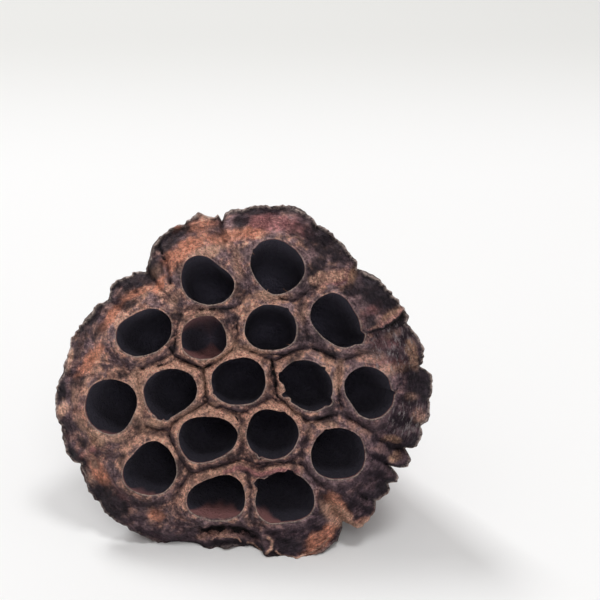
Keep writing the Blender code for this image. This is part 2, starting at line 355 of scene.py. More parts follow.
SEED_CELLS = (
    SeedCell(-8.9, 24.25, 6.75, 5.25, -34, 0.06, 110),
    SeedCell(8.0, 27.8, 6.8, 6.0, -50, 0.03, 130),
    SeedCell(-23.7, 12.0, 7.1, 5.2, 25, 0.02, 60),
    SeedCell(-9.4, 10.8, 5.5, 5.2, 10, 0.02, 200, 8.5),
    SeedCell(6.5, 13.2, 6.3, 5.5, 0, 0.02, 90),
    SeedCell(22.0, 15.0, 7.1, 5.1, -52, 0.05, -50),
    SeedCell(-31.9, -5.6, 6.7, 6.2, 70, 0.03, 270),
    SeedCell(-17.7, -2.3, 6.7, 5.6, 30, 0.04, 255),
    SeedCell(-1.1, 0.4, 6.6, 5.7, 8, 0.02, 60),
    SeedCell(14.9, -0.5, 6.8, 5.7, -32, 0.03, 60),
    SeedCell(30.1, -2.2, 6.6, 5.5, -55, 0.03, 150),
    SeedCell(-8.9, -13.4, 7.2, 5.5, 10, 0.05, 250),
    SeedCell(6.8, -12.3, 6.3, 6.0, -20, 0.02, 130),
    SeedCell(22.6, -17.1, 6.6, 6.3, 0, 0.02, 90),
    SeedCell(-22.4, -20.9, 6.8, 6.0, 48, 0.06, 80),
    SeedCell(-6.3, -27.9, 7.2, 5.5, 12, 0.06, 185),
    SeedCell(9.7, -27.8, 7.2, 6.3, 5, 0.05, 100),
)

# The lower walls painted reddish as lit from above; the rest of each wall is painted dark.
LIT_RED_WALLS = (
    LitRedWall(15, 268, 2.3),
    LitRedWall(16, 238, 1.7, 0.8),
    LitRedWall(14, 256, 0.9, 0.45),
    LitRedWall(6, 262, 0.8, 0.5),
    LitRedWall(11, 305, 0.5, 0.5),
    LitRedWall(3, 272, 3.4),
    LitRedWall(3, 100, 3.6, 0.4),
)

# Chips and flakes of the mouths, each named by its cell's place in the list above.
NICKS = (
    Nick(1, 145, 0.35, 4, 4),
    Nick(4, 50, 0.35, 8, 2),
    Nick(5, -30, 1.2, 24, 8),
    Nick(7, -108, 0.45, 14, 4),
    Nick(7, -95, 0.5, 8, 8),
    Nick(8, -155, 0.4, 4, 5),
    Nick(9, 157, 0.4, 6, 6),
    Nick(9, 189, -1.4, 22, 13),
    Nick(9, 215, -0.8, 5, 14),
    Nick(9, 43, 0.5, 4, 7),
    Nick(9, -34, 0.8, 15, 7),
    Nick(10, 7, -0.5, 6, 30),
    Nick(10, -1, 0.35, 5, 2),
    Nick(12, -118, 0.4, 7, 2),
    Nick(12, 60, 0.3, 5, 9),
    Nick(13, 120, 0.3, 9, 3),
    Nick(16, 76, 0.7, 8, 14),
    Nick(16, 150, 1.4, 16, 12),
)

# Folds without a tint are painted near black along their path, as shade in the crack or crease.
FOLDS = (
    # The deep crevice round the raised ring of the small cell.
    Fold(((-1.9, 15.4), (-1.4, 11.3), (-2.9, 7.7), (-6.2, 4.8), (-9.8, 3.4), (-13.9, 4.8)), -0.9, 0.4),
    # Cracks where collars meet.
    Fold(((-9.8, 3.4), (-9.1, -0.7), (-9.6, -4.3), (-8.2, -7.2)), -0.8, 0.3),
    Fold(
        ((6.5, 6.0), (7.2, 1.7), (7.7, -0.7), (7.6, -2.6), (8.2, -3.6), (9.6, -4.7)),
        -0.9, 0.45, dark=1.1,
    ),  # fmt: skip
    Fold(((36.2, -2.2), (36.6, -1.2), (37.6, -0.5)), -0.6, 0.2),
    Fold(
        ((-1.0, 7.9), (5.2, 6.7), (9.1, 6.7), (12.7, 7.6), (16.1, 8.4), (19.0, 7.0), (21.6, 6.0)),
        -0.6, 0.32,
    ),  # fmt: skip
    Fold(((8.2, 20.2), (11.9, 19.2), (14.6, 21.1)), -0.5, 0.4),
    Fold(
        ((-23.3, -10.8), (-19.9, -11.8), (-17.2, -9.8), (-13.0, -7.2), (-10.4, -5.6)),
        -0.5, 0.35, dark=0.8,
    ),  # fmt: skip
    Fold(((-5.9, -5.6), (-1.9, -6.9), (1.2, -7.4)), -0.5, 0.35),
    Fold(((-1.9, -8.2), (-1.0, -9.8), (-1.2, -12.7)), -0.5, 0.25),
    Fold(((10.3, -5.3), (12.2, -7.6), (14.9, -9.3), (17.4, -9.2), (21.6, -7.8)), -0.6, 0.34),
    Fold(((-3.6, -18.6), (1.2, -18.8), (3.2, -19.7), (8.2, -19.2), (13.7, -20.0)), -0.6, 0.3, dark=0.8),
    Fold(((1.2, 21.1), (-2.2, 17.8), (-10.4, 17.4)), -0.4, 0.5, dark=0.8),
    Fold(((-16.5, 12.1), (-18.1, 9.1), (-16.2, 5.6), (-18.6, 4.6), (-24.5, 3.2)), -0.5, 0.45, dark=0.8),
    # Creases of the brim.
    Fold(((-20.6, 32.5), (-19.3, 30.2), (-18.1, 27.1), (-17.5, 23.8)), -1.0, 0.6, dark=0.7),
    Fold(((32.2, -13.9), (35.2, -16.1), (39.7, -16.7)), -0.9, 0.7, dark=0.6),
    Fold(((34.2, -19.7), (36.4, -21.4)), -0.8, 0.5, dark=0.7),
    Fold(((28.5, -27.5), (31.5, -29.5)), -0.7, 0.6, dark=0.6),
    Fold(((-5.2, 40.5), (-5.6, 36.4)), -0.5, 0.5, dark=0.4),
    Fold(((-6.0, 38.5), (-7.0, 35.6), (-4.2, 34.2)), -0.4, 1.2, dark=0.2),
    # The deep hollow in the lowest part of the brim, painted dark as shade, and the thin edges of the
    # layers there.
    Fold(
        ((-10.2, -36.8), (-7.6, -35.9), (-5.0, -35.5), (-2.5, -35.8), (0.2, -36.8), (2.4, -37.6)),
        -1.9, 1.15, dark=1.4,
    ),  # fmt: skip
    Fold(((-11.0, -34.6), (-9.8, -37.4)), -0.7, 0.5),
    Fold(((-8.0, -38.4), (-6.9, -37.4), (-4.3, -37.2), (-1.8, -37.6), (-0.9, -38.9)), 0.4, 0.16, Tint.PALE),
    Fold(((0.7, -39.0), (2.1, -39.4), (3.5, -40.4), (4.2, -40.8)), 0.4, 0.2, Tint.PALE),
    Fold(((5.3, -41.0), (6.5, -39.8), (7.0, -38.4), (5.8, -37.4)), 0.7, 0.35, Tint.PALE),
    Fold(
        ((7.6, -40.5), (8.8, -41.6), (12.2, -42.0), (15.4, -40.9), (18.0, -39.8), (20.6, -37.5)),
        0.5, 0.22, Tint.PALE,
    ),  # fmt: skip
    # The curled pink ridge between the lowest mouths, and the one that runs out to the left.
    Fold(
        ((-4.6, -21.3), (-1.2, -20.3), (0.9, -20.9), (3.0, -22.0), (8.2, -21.2), (12.7, -21.0)),
        0.9, 0.6, Tint.ROSE,
    ),  # fmt: skip
    Fold(((-36.2, -16.1), (-41.5, -20.0)), 1.0, 0.7, Tint.ROSE),
)

STAINS = {
    Tint.RUST: (
        Stain(-10.6, 37.6, 4.6, 1.8, 15, 0.6), Stain(-40.0, -6.0, 4.0, 1.4, 95, 0.3),
        Stain(-14.0, 31.8, 5.6, 2.1, 34, 1.1), Stain(-4.0, 34.8, 6.0, 1.8, 15, 0.8),
        Stain(2.2, 36.2, 3.6, 1.8, 5), Stain(-16.6, 28.6, 2.6, 0.9, 75, 0.8),
        Stain(-20.2, 23.4, 2.2, 1.2, 60), Stain(-26.0, 21.4, 4.2, 1.0, 25),
        Stain(-31.6, 15.8, 4.2, 1.2, 52), Stain(-37.0, 5.2, 5.0, 1.6, 52),
        Stain(-35.2, -21.8, 4.2, 1.8, -62), Stain(-21.4, -32.2, 2.2, 1.5, 0),
        Stain(22.2, -30.8, 4.6, 2.4, -50), Stain(28.0, -34.0, 4.0, 1.4, 20, 0.5),
        Stain(18.4, -37.8, 6.0, 2.0, 40), Stain(-38.5, -6.5, 5.0, 1.6, 90, 0.3),
        Stain(-16.0, 36.8, 1.8, 1.2, 30, 0.8),
    ),
    Tint.ROSE: (
        Stain(33.0, -30.0, 3.0, 1.6, 60, 0.5), Stain(6.7, 38.0, 7.0, 2.0, -5),
        Stain(13.5, 36.5, 4.0, 1.6, -25, 0.7), Stain(22.2, 25.2, 4.6, 1.6, 10),
        Stain(35.0, 4.2, 5.0, 1.8, 10, 0.5), Stain(30.5, 17.5, 3.0, 1.4, 35, 0.6),
        Stain(-30.0, -27.0, 3.0, 1.4, -50, 0.5), Stain(34.0, 9.4, 3.6, 1.4, 0, 0.4),
    ),
    Tint.OCHRE: (
        Stain(-36.0, -13.0, 4.0, 2.0, -40, 0.6), Stain(25.9, 25.6, 2.3, 1.1, 80),
        Stain(40.2, 6.9, 3.0, 1.3, -75), Stain(35.3, -13.6, 2.0, 0.9, -10, 0.8),
        Stain(36.2, -17.9, 1.6, 1.1, 10, 0.6), Stain(35.0, 16.6, 3.4, 0.8, 35),
        Stain(-20.4, -9.0, 2.6, 0.9, 8, 0.8), Stain(-24.5, -11.0, 4.5, 1.2, 0, 0.4),
    ),
    Tint.CHARCOAL: (
        Stain(-27.0, 27.4, 2.6, 1.4, 40), Stain(-15.4, 26.4, 1.2, 2.4, 0, 0.5),
        Stain(-6.0, 33.0, 3.0, 0.9, 15, 0.4), Stain(-5.5, 33.2, 3.4, 1.0, 15, 0.4),
        Stain(16.6, 25.2, 1.6, 2.8, 20), Stain(12.0, -20.4, 1.2, 1.8, 0, 0.7),
        Stain(5.0, 5.0, 1.2, 1.8, 0, 0.6), Stain(19.2, -30.6, 1.4, 3.4, 0, 0.7),
        Stain(-25.0, -26.0, 3.2, 1.2, -20, 0.6), Stain(19.4, 33.2, 7.0, 3.0, -38),
        Stain(42.0, 0.0, 3.4, 3.0, 90, 1.4), Stain(31.4, 21.8, 7.0, 3.6, -40),
        Stain(-4.2, 14.6, 2.6, 1.6, -60, 0.7), Stain(-9.0, 16.4, 4.0, 0.9, 5, 0.6),
        Stain(6.2, 0.9, 0.9, 4.4, 0, 0.5), Stain(19.8, -9.2, 2.8, 1.0, -10, 0.8),
        Stain(-3.2, -17.5, 2.4, 0.9, 10, 0.7), Stain(2.8, -17.8, 2.0, 0.8, 0, 0.7),
        Stain(-36.0, -19.8, 1.8, 1.2, -60, 0.8), Stain(-29.4, -18.0, 1.0, 2.4, -10, 0.6),
        Stain(-25.6, -9.4, 1.2, 2.2, 0, 0.7), Stain(18.0, 11.4, 1.6, 1.6, 0, 0.7),
        Stain(13.2, 12.0, 1.2, 1.4, 0, 0.7), Stain(-29.0, 1.8, 2.6, 1.2, 0, 0.7),
        Stain(-26.0, 27.4, 3.2, 1.4, 35), Stain(-8.0, -20.6, 5.0, 0.8, 5, 0.5),
        Stain(14.5, 22.5, 3.5, 2.0, -50, 0.5), Stain(14.0, 34.0, 5.0, 1.8, -35, 0.5),
        Stain(-19.2, 34.0, 3.8, 2.0, 50, 1.3), Stain(-21.0, 28.6, 2.6, 1.6, 70, 0.5),
        Stain(1.5, 40.8, 4.5, 1.0, 3, 0.8), Stain(-39.2, 11.5, 3.4, 1.6, 60, 0.6),
        Stain(-5.7, 36.0, 2.3, 1.5, 80, 0.6), Stain(-15.8, 35.6, 4.0, 1.4, 35, 0.9),
        Stain(-13.4, 38.6, 2.4, 1.0, 25, 0.6), Stain(-0.4, 38.6, 2.2, 1.8, 60, 1.0),
        Stain(10.0, 41.4, 4.0, 1.0, -5, 0.7), Stain(8.0, 35.0, 5.0, 0.9, -3, 0.4),
        Stain(18.4, 28.4, 3.2, 1.8, 60, 0.8), Stain(25.4, 22.2, 2.4, 1.6, 0, 0.9),
        Stain(-36.4, 17.0, 4.4, 2.0, 58, 1.1), Stain(-33.2, 19.8, 3.0, 1.2, 50, 0.8),
        Stain(-27.4, 18.6, 3.4, 1.0, 25, 0.8), Stain(-34.8, 12.4, 3.0, 1.1, 60, 0.6),
        Stain(-28.6, 21.6, 3.4, 1.2, 40, 0.7), Stain(-17.6, 33.4, 3.0, 1.4, 40, 1.0),
        Stain(-31.0, 23.4, 3.4, 1.4, 42, 0.8), Stain(-26.0, 18.2, 3.0, 0.9, 25, 0.35),
        Stain(-15.6, -20.4, 2.8, 1.3, 80, 1.0), Stain(-24.5, -25.8, 3.0, 1.0, -15, 0.4),
        Stain(-24.6, 25.2, 4.8, 2.6, 30, 1.4), Stain(-38.5, -15.0, 2.4, 1.2, -50, 0.7),
        Stain(30.5, 14.6, 3.4, 1.4, -60, 0.7), Stain(20.6, 6.8, 2.4, 1.2, -20, 0.7),
        Stain(20.8, -5.0, 1.2, 2.6, 0, 0.6), Stain(-21.0, -12.2, 3.4, 1.0, -8, 0.6),
        Stain(-15.6, 15.6, 2.8, 1.2, -20, 0.8), Stain(-17.0, 8.8, 1.4, 1.6, 0, 0.7),
        Stain(-3.0, 11.0, 0.9, 1.8, 0, 0.7), Stain(-1.2, 21.6, 2.0, 2.2, 0, 0.7),
        Stain(-4.8, 17.2, 2.2, 1.0, 10, 0.7), Stain(-24.0, -29.5, 5.0, 2.0, -15, 0.5),
        Stain(-12.8, -22.2, 1.2, 2.4, 0, 0.6), Stain(18.4, -28.6, 1.0, 3.0, 0, 0.8),
        Stain(3.4, -33.6, 2.4, 1.6, 0, 0.6), Stain(-40.0, 8.2, 2.4, 1.3, 80, 0.8),
        Stain(-39.8, 0.2, 3.0, 1.2, 20, 0.7), Stain(-41.2, -18.6, 3.4, 1.6, -60, 0.9),
        Stain(-29.0, -26.0, 3.6, 1.2, -25, 0.5), Stain(-8.0, -22.6, 3.6, 0.9, 5, 0.5),
        Stain(14.4, 18.8, 1.6, 1.2, 0, 0.6), Stain(15.0, 10.8, 3.4, 0.8, 5, 0.8),
        Stain(12.2, 6.0, 2.6, 0.9, 35, 0.8), Stain(-32.5, -29.5, 5.4, 3.4, -50),
        Stain(-44.2, -2.4, 2.4, 1.2, 80), Stain(-3.9, -39.4, 6.0, 1.6, 0, 0.8),
        Stain(10.9, -38.9, 3.8, 1.5, -15), Stain(12.0, -44.0, 7.0, 1.6, 5),
        Stain(34.0, -25.0, 5.0, 2.5, 55, 0.6),
    ),
    Tint.PALE: (
        Stain(-8.2, 40.0, 3.4, 1.3, 8, 0.9), Stain(-25.6, -2.4, 5.8, 1.7, 95, 1.2),
        Stain(-9.0, 31.0, 4.4, 1.3, 15, 1.0), Stain(6.4, 20.9, 4.4, 1.3, -3, 1.0),
        Stain(9.3, -0.8, 2.2, 0.8, 80, 1.1), Stain(40.8, 4.4, 1.8, 0.9, -75, 0.7),
        Stain(41.2, -7.0, 2.0, 1.0, 30, 0.4), Stain(40.2, -3.4, 1.8, 1.2, 0, 0.4),
        Stain(35.2, 11.6, 2.6, 1.2, 30, 0.3), Stain(29.4, 7.0, 4.6, 1.2, -8, 0.3),
        Stain(-5.4, 7.2, 5.4, 1.6, 20, 1.2), Stain(-5.4, 3.6, 2.6, 1.2, 60, 0.7),
        Stain(-1.4, 28.6, 1.3, 3.6, 10, 0.7), Stain(-5.0, 9.2, 1.4, 3.0, -20, 1.2),
        Stain(-26.4, -3.2, 1.5, 3.2, 0, 1.3), Stain(22.6, -11.4, 3.0, 1.0, -35, 0.6),
        Stain(-7.6, -5.4, 1.8, 1.0, 20, 0.7), Stain(12.0, -6.8, 2.6, 0.9, -35, 0.6),
        Stain(-8.6, 17.2, 2.6, 1.0, 0, 0.5), Stain(14.6, 16.4, 2.6, 1.2, 60, 0.5),
        Stain(2.5, 7.9, 4.4, 1.2, -5, 0.8), Stain(22.6, 1.6, 3.4, 1.3, 80, 1.0),
        Stain(-9.4, 1.0, 3.6, 1.1, 90, 0.9), Stain(-15.6, -8.2, 5.4, 1.0, 15, 0.6),
        Stain(34.6, 3.0, 5.4, 1.6, 10, 0.5), Stain(20.8, 25.4, 4.4, 1.4, 10, 0.9),
        Stain(23.0, -32.6, 4.4, 2.2, -40, 1.0), Stain(29.0, -34.6, 4.6, 1.6, 20, 0.9),
        Stain(34.2, -30.4, 3.4, 2.2, 60, 0.9), Stain(-37.4, -23.6, 2.4, 1.4, -60, 0.5),
        Stain(15.6, -12.0, 3.0, 1.0, -80, 0.4), Stain(11.0, -4.6, 2.6, 0.9, -50, 0.4),
        Stain(-0.6, -12.4, 2.6, 0.7, 88, 0.4), Stain(-16.5, 20.0, 2.4, 1.2, 60, 0.5),
        Stain(-10.5, 18.2, 3.0, 0.8, 0, 0.4), Stain(-40.6, -4.0, 2.6, 1.3, 90, 0.5),
        Stain(-39.6, -10.0, 3.0, 1.3, 100, 0.5), Stain(-29.6, -13.2, 4.0, 1.2, 10, 0.6),
        Stain(-20.5, -9.6, 5.5, 1.2, -8, 0.55), Stain(-12.0, -6.2, 3.4, 1.2, 38, 0.5),
        Stain(-33.0, -12.6, 4.5, 1.8, -10, 0.6), Stain(-37.0, -19.0, 3.5, 1.5, -60, 0.4),
        Stain(-42.0, 6.0, 1.8, 0.7, 85), Stain(-42.6, 3.4, 1.6, 0.9, 80, 0.5),
        Stain(-41.2, 10.6, 1.4, 0.8, 60, 0.4), Stain(-21.2, 26.4, 1.4, 1.6, 0, 0.4),
        Stain(-44.2, -7.0, 2.0, 1.2, 85), Stain(42.4, -8.6, 2.2, 1.3, 30, 0.6),
    ),
}  # fmt: skip


def distance_to_path(x: Array, y: Array, path: tuple[tuple[float, float], ...]) -> Array:
    """Measures how far points of the face are from a path.

    Args:
        x: the points' places to the right.
        y: the points' places up the face.
        path: the path's corners.

    Returns:
        Each point's distance to the nearest place on the path.
    """
    nearest = np.full(len(x), np.inf)
    for (x0, y0), (x1, y1) in zip(path, path[1:]):
        along = ((x - x0) * (x1 - x0) + (y - y0) * (y1 - y0)) / ((x1 - x0) ** 2 + (y1 - y0) ** 2)
        along = np.clip(along, 0, 1)
        nearest = np.minimum(nearest, np.hypot(x - x0 - along * (x1 - x0), y - y0 - along * (y1 - y0)))
    return nearest


def nearness(angle: Array, tear: Notch | Nick) -> Array:
    """Returns how near angles are to a tear's middle: 1 there, 0 at its ends, and less beyond them."""
    off = degrees_from(angle, tear.angle)
    return 1 - np.abs(off) / np.where(off < 0, tear.before, tear.after)


@dataclass(frozen=True)
class PodShape:
    """The pod's main form, with the sizes that its solid has."""

    brim_from: float = 0.78
    lobe_edge: float = 1.0
    mouth_squareness: float = 0.02
    dome_height: float = 1.2
    collar_height: float = 1.35
    collar_width: float = 3.2
    flat_half_wall: float = 0.4
    full_half_wall: float = 2.2
    rib_sets: tuple[tuple[int, float], ...] = ((13, 0.35), (21, 0.40), (34, 0.25))
    rib_phases: tuple[float, ...] = (3.279722, 5.068588, 6.034967)
    rib_height: float = 0.9
    ribs_fade: tuple[float, float] = (-70.0, -55.0)
    crinkle_height: float = 1.1
    outline_fade: float = 16.0
    bend_fade: float = 5.0
    stem_tip: float = -86.6
    stem_lean: tuple[float, float] = (-2.0, -0.2)
    brim_reach: float = 40.0
    tear_sharpness: float = 1.3
    serration: float = 0.52
    rolled_at: float = 268.0
    rolled_half_width: float = 26.0
    mouth_waves: tuple[tuple[int, float], ...] = ((5, 0.04), (8, 0.03), (13, 0.02), (21, 0.012))
    wave_phase: float = 1.7
    nick_side: float = 0.6
    flow_radius: float = 4.6
    flow_spacing: float = 13.0
    grain: Grain = field(default_factory=lambda: Grain(5))

    @property
    def mean_radius(self) -> float:
        """The brim's mean radius."""
        return sum(RIM_RADII) / len(RIM_RADII)

    def rim_radius(self, angle: Array) -> Array:
        """Returns the brim's radius at angles, with its tears."""
        radius = around(RIM_RADII, angle)
        for notch in NOTCHES:
            radius = radius - notch.depth * np.clip(nearness(angle, notch), 0, 1) ** self.tear_sharpness
        for swell in SWELLS:
            off = np.abs(degrees_from(angle, swell.angle)) / swell.spread
            radius = radius + swell.height * smooth(1, 0, off)
        return radius

    def serrations(self, angle: Array) -> Array:
        """Returns the brim's fine lumps, added to its radius and lowest where the brim is rolled in."""
        places = round_places(angle, self.brim_reach)
        lumps = 0.8 * self.grain.at(places, 3.6) + 0.55 * self.grain.at(places + 30, 1.0)
        rolled = bell(degrees_from(angle, self.rolled_at), self.rolled_half_width)
        return self.serration * (1 - 0.8 * rolled) * (lumps + 0.5 * self.grain.creased(places + 90, 1.9))

    def ragged_radius(self, angle: Array) -> Array:
        """Returns the brim's radius with its tears and its fine lumps."""
        return self.rim_radius(angle) + self.serrations(angle)

    def ribs(self, angle: Array) -> Array:
        """Returns the relief of the ribs between brim and neck, from about -1 to 1."""
        sets = zip(self.rib_sets, self.rib_phases)
        return sum(share * np.cos(count * angle + phase) for (count, share), phase in sets)

    def past_edge(self, lobe: Lobe, angle: Array, reach: Array) -> Array:
        """Returns how many degrees places are past a flap's free edge, which is a little ragged."""
        places = flat_places(reach, np.full_like(reach, lobe.angle))
        ragged = 0.5 * self.grain.at(places, 1.5) + 0.3 * self.grain.at(places, 0.8)
        return degrees_from(angle, lobe.angle + lobe.curve * (reach - 35) ** 2 + ragged)

    def lobe_lift(self, angle: Array, reach: Array, outward: Array | float = 1.0) -> Array:
        """Works out how far the overlapping flaps lift the brim.

        Args:
            angle: the points' directions, in radians.
            reach: how far out the points are.
            outward: the same as a share of the brim's radius.

        Returns:
            The lift at each point.
        """
        lift = np.zeros_like(angle)
        for lobe in LOBES:
            off = self.past_edge(lobe, angle, reach)
            raised = lobe.lift * smooth(-self.lobe_edge, 0, off) * smooth(lobe.span, 0, off)
            lift = lift + raised * smooth(lobe.start, lobe.start + 0.16, outward + 0 * reach)
        return lift

    def tear_furrows(self, angle: Array, outward: Array) -> Array:
        """Returns how deep the furrows are that run in from the tears of the brim."""
        depth = np.zeros_like(angle)
        for notch in NOTCHES:
            off = np.abs(degrees_from(angle, notch.angle))
            inward = smooth(0.99 - 0.09 * notch.depth, 1.0, outward)
            width = 0.7 * min(notch.before, notch.after)
            depth = np.maximum(depth, 0.6 * notch.depth * inward * bell(off, width))
        return depth

    def lobe_panel(self, angle: Array, reach: Array) -> Array:
        """Returns the mask of the flaps themselves, which are flatter than the rest of the brim."""
        panel = np.zeros_like(angle)
        for lobe in LOBES:
            off = self.past_edge(lobe, angle, reach)
            panel = np.maximum(panel, smooth(-0.5, 1.5, off) * smooth(lobe.span, 0.7 * lobe.span, off))
        return panel

    def lobe_seam(self, angle: Array, reach: Array, outward: Array) -> tuple[Array, Array]:
        """Marks the free edges of the flaps.

        Args:
            angle: the points' directions, in radians.
            reach: how far out the points are.
            outward: the same as a share of the brim's radius.

        Returns:
            The mask of the gap under each edge, and the mask of the pale hem beside it.
        """
        gap_shadow, crest = np.zeros_like(angle), np.zeros_like(angle)
        for lobe in LOBES:
            off = self.past_edge(lobe, angle, reach) * np.radians(1) * reach
            out = smooth(lobe.start + 0.02, lobe.start + 0.1, outward)
            gap = 0.25 + lobe.gap * smooth(33, 41, reach)
            gap_shadow = np.maximum(gap_shadow, out * bell(off + 0.2 + 0.8 * gap, gap))
            hem = 0.35 + 1.5 * bell(reach - 38, 3.2)
            pale = out * lobe.hem * smooth(-0.2, 0.2, off)
            crest = np.maximum(crest, pale * smooth(2.1 * hem, 0.3 * hem, off))
        return gap_shadow, crest

    def brim_bend(self, angle: Array) -> Array:
        """Returns how far the brim's edge is out of the plane of the face, without its flaps."""
        return around(RIM_BENDS, angle) + self.crinkle_height * self.ribs(angle)

    def mouth_radius(self, number: int, angle: Array) -> Array:
        """Returns how far a mouth's edge is from its middle, with its small chips.

        Args:
            number: the cell's place in the list of cells.
            angle: the directions to look in, in radians.

        Returns:
            The edge's distance in each direction.
        """
        cell = SEED_CELLS[number]
        along = angle - math.radians(cell.turn)
        ellipse = 1 / np.hypot(np.cos(along) / cell.half_length, np.sin(along) / cell.half_width)
        corner = cell.corner * np.cos(3 * (angle - math.radians(cell.corner_at)))
        radius = ellipse * (1 + corner - self.mouth_squareness * np.cos(4 * along))
        for wave, height in self.mouth_waves:
            radius = radius + height * np.cos(wave * angle + self.wave_phase * number * wave)
        for nick in NICKS:
            if nick.cell == number:
                radius = radius + nick.depth * smooth(0, self.nick_side, nearness(angle, nick))
        return radius

    def all_mouth_distances(self, x: Array, y: Array) -> Array:
        """Returns how far points of the face are outside each mouth, in the order of the cells."""
        distances = []
        for number, cell in enumerate(SEED_CELLS):
            east, north = x - cell.x, y - cell.y
            distances.append(np.hypot(east, north) - self.mouth_radius(number, np.arctan2(north, east)))
        return np.array(distances)

    def mouth_distances(self, x: Array, y: Array) -> Array:
        """Returns how far points of the face are outside each mouth, nearest mouth first."""
        return np.sort(self.all_mouth_distances(x, y), axis=0)

    def flow(self, x: Array, y: Array) -> Array:
        """Squeezes the face along the wrinkles that run round each mouth.

        Args:
            x: the points' places to the right.
            y: the points' places up the face.

        Returns:
            Places to read relief at that is drawn out round the nearest mouth, one a row.
        """
        distances = self.all_mouth_distances(x, y)
        nearest = distances.argmin(axis=0)
        middles = np.array([(cell.x, cell.y) for cell in SEED_CELLS])[nearest]
        angle = np.arctan2(y - middles[:, 1], x - middles[:, 0])
        places = round_places(angle, self.flow_radius, distances.min(axis=0))
        places[:, 0] += self.flow_spacing * nearest
        return places

    def skin_radius(self, angle: Array, height: float, share: float) -> Array:
        """Returns the cone's radius at a height: round at the neck, and near the brim like the brim."""
        unevenness = (self.rim_radius(angle) / self.mean_radius - 1) * math.exp(height / self.outline_fade)
        ribs = self.rib_height * smooth(*self.ribs_fade, np.full(1, height)) * self.ribs(angle)
        return self.mean_radius * share * (1 + unevenness) + ribs

    def lean(self, height: float) -> Array:
        """Returns the sideways place of the pod's middle line at a height."""
        return np.array(self.stem_lean) * (height / self.stem_tip) ** 2


class Skin:
    """Points, triangles and masks of one closed surface, gathered ring by ring."""

    def __init__(self) -> None:
        """Starts an empty surface."""
        self.points: list[Array] = []
        self.streaks: list[Array] = []
        self.flows: list[Array] = []
        self.triangles: list[Array] = []
        self.masks: dict[str, list[Array]] = {m.value: [] for kind in (Mask, Tint) for m in kind}
        self.count = 0

    def add(
        self,
        points: Array,
        masks: dict[str, Array | float],
        streaks: Array | None = None,
        flows: Array | None = None,
    ) -> Array:
        """Adds points.

        Args:
            points: the points, one a row.
            masks: the masks that aren't 0 there.
            streaks: the same points squeezed along the streaks of the tissue, if it has any.
            flows: the same points squeezed along the wrinkles round the mouths, if there are any.

        Returns:
            The points' numbers.
        """
        self.points.append(points)
        self.streaks.append(points if streaks is None else streaks)
        self.flows.append(points if flows is None else flows)
        for name, values in self.masks.items():
            values.append(np.zeros(len(points)) + masks.get(name, 0.0))
        self.count += len(points)
        return np.arange(self.count - len(points), self.count)

    def fan(self, ring: Array, point: int) -> None:
        """Joins a ring to one point with a fan of triangles."""
        self.triangles.append(np.stack([ring, np.roll(ring, -1), np.full(len(ring), point)], 1))

    def bridge(self, ring: Array, following: Array) -> None:
        """Joins two rings of points: step by step if they are alike, two steps to one, or from one point.

        Args:
            ring: the first ring's numbers.
            following: the second ring's numbers, as many or half as many, or any if the first is one point.
        """
        if len(ring) == 1:
            self.fan(following, ring[0])
            return
        a, b = following, np.roll(following, -1)
        if len(ring) == len(following):
            after = np.roll(ring, -1)
            self.triangles += [np.stack([ring, after, b], 1), np.stack([ring, b, a], 1)]
            return
        even, odd = ring[0::2], ring[1::2]
        after = np.roll(even, -1)
        for corners in ([even, odd, a], [odd, b, a], [odd, after, b]):
            self.triangles.append(np.stack(corners, 1))

    def close(self, ring: Array, tip: Array, masks: dict[str, Array | float]) -> None:
        """Closes a ring with one point.

        Args:
            ring: the ring's numbers.
            tip: the point.
            masks: the point's masks that aren't 0.
        """
        self.fan(ring, self.add(tip[None, :], masks)[0])

    def piece(self, name: str, pose: "Pose") -> bpy.types.Object:
        """Turns the surface into a piece of the scene.

        Args:
            name: the piece's name.
            pose: how the pod lies.

        Returns:
            The new piece.
        """
        points = np.concatenate(self.points)
        mesh = bpy.data.meshes.new(name)
        mesh.from_pydata(pose.place(points).tolist(), [], np.concatenate(self.triangles).tolist())
        surface = bmesh.new()
        surface.from_mesh(mesh)
        bmesh.ops.recalc_face_normals(surface, faces=surface.faces)
        surface.to_mesh(mesh)
        surface.free()
        for mask, values in self.masks.items():
            stored = mesh.attributes.new(mask, "FLOAT", "POINT")
            stored.data.foreach_set("value", np.concatenate(values).astype(np.float32))
        uses = {"own_place": self.points, "streak_place": self.streaks, "flow_place": self.flows}
        for use, places in uses.items():
            stored = mesh.attributes.new(use, "FLOAT_VECTOR", "POINT")
            stored.data.foreach_set("vector", np.concatenate(places).astype(np.float32).ravel())
        mesh.shade_smooth()
        piece = bpy.data.objects.new(name, mesh)
        bpy.context.scene.collection.objects.link(piece)
        return piece


@dataclass(frozen=True)
class Pose:
    """How the pod lies: its face leans back, and its lowest parts are pressed flat by what it lies on."""

    face_tilt: float = 23.0
    face_middle: tuple[float, float, float] = (-0.10, -30.56, 37.40)

    def place(self, points: Array) -> Array:
        """Lays points of the pod down.

        Args:
            points: points with the face up, in millimetres, one a row.

        Returns:
            The points in the shared frame, in metres.
        """
        turn = np.array(Matrix.Rotation(math.radians(90 - self.face_tilt), 3, "X"))
        laid = points @ turn.T + np.array(self.face_middle)
        laid[:, 2] = np.maximum(laid[:, 2], 0)
        return laid * MM


class FacePlaces:
    """Points of the flat face, and where they are seen from its middle, the brim and the mouths."""

    def __init__(self, shape: PodShape, x: Array, y: Array) -> None:
        """Measures the points.

        Args:
            shape: the pod's main form.
            x: the points' places to the right.
            y: the points' places up the face.
        """
        self.x, self.y = x, y
        self.flat = flat_places(x, y)
        self.angle, self.reach = np.arctan2(y, x), np.hypot(x, y)
        self.edge = shape.rim_radius(self.angle)
        self.outward = self.reach / self.edge
        self.nearest, self.second = shape.mouth_distances(x, y)[:2]
        self.flow = shape.flow(x, y)


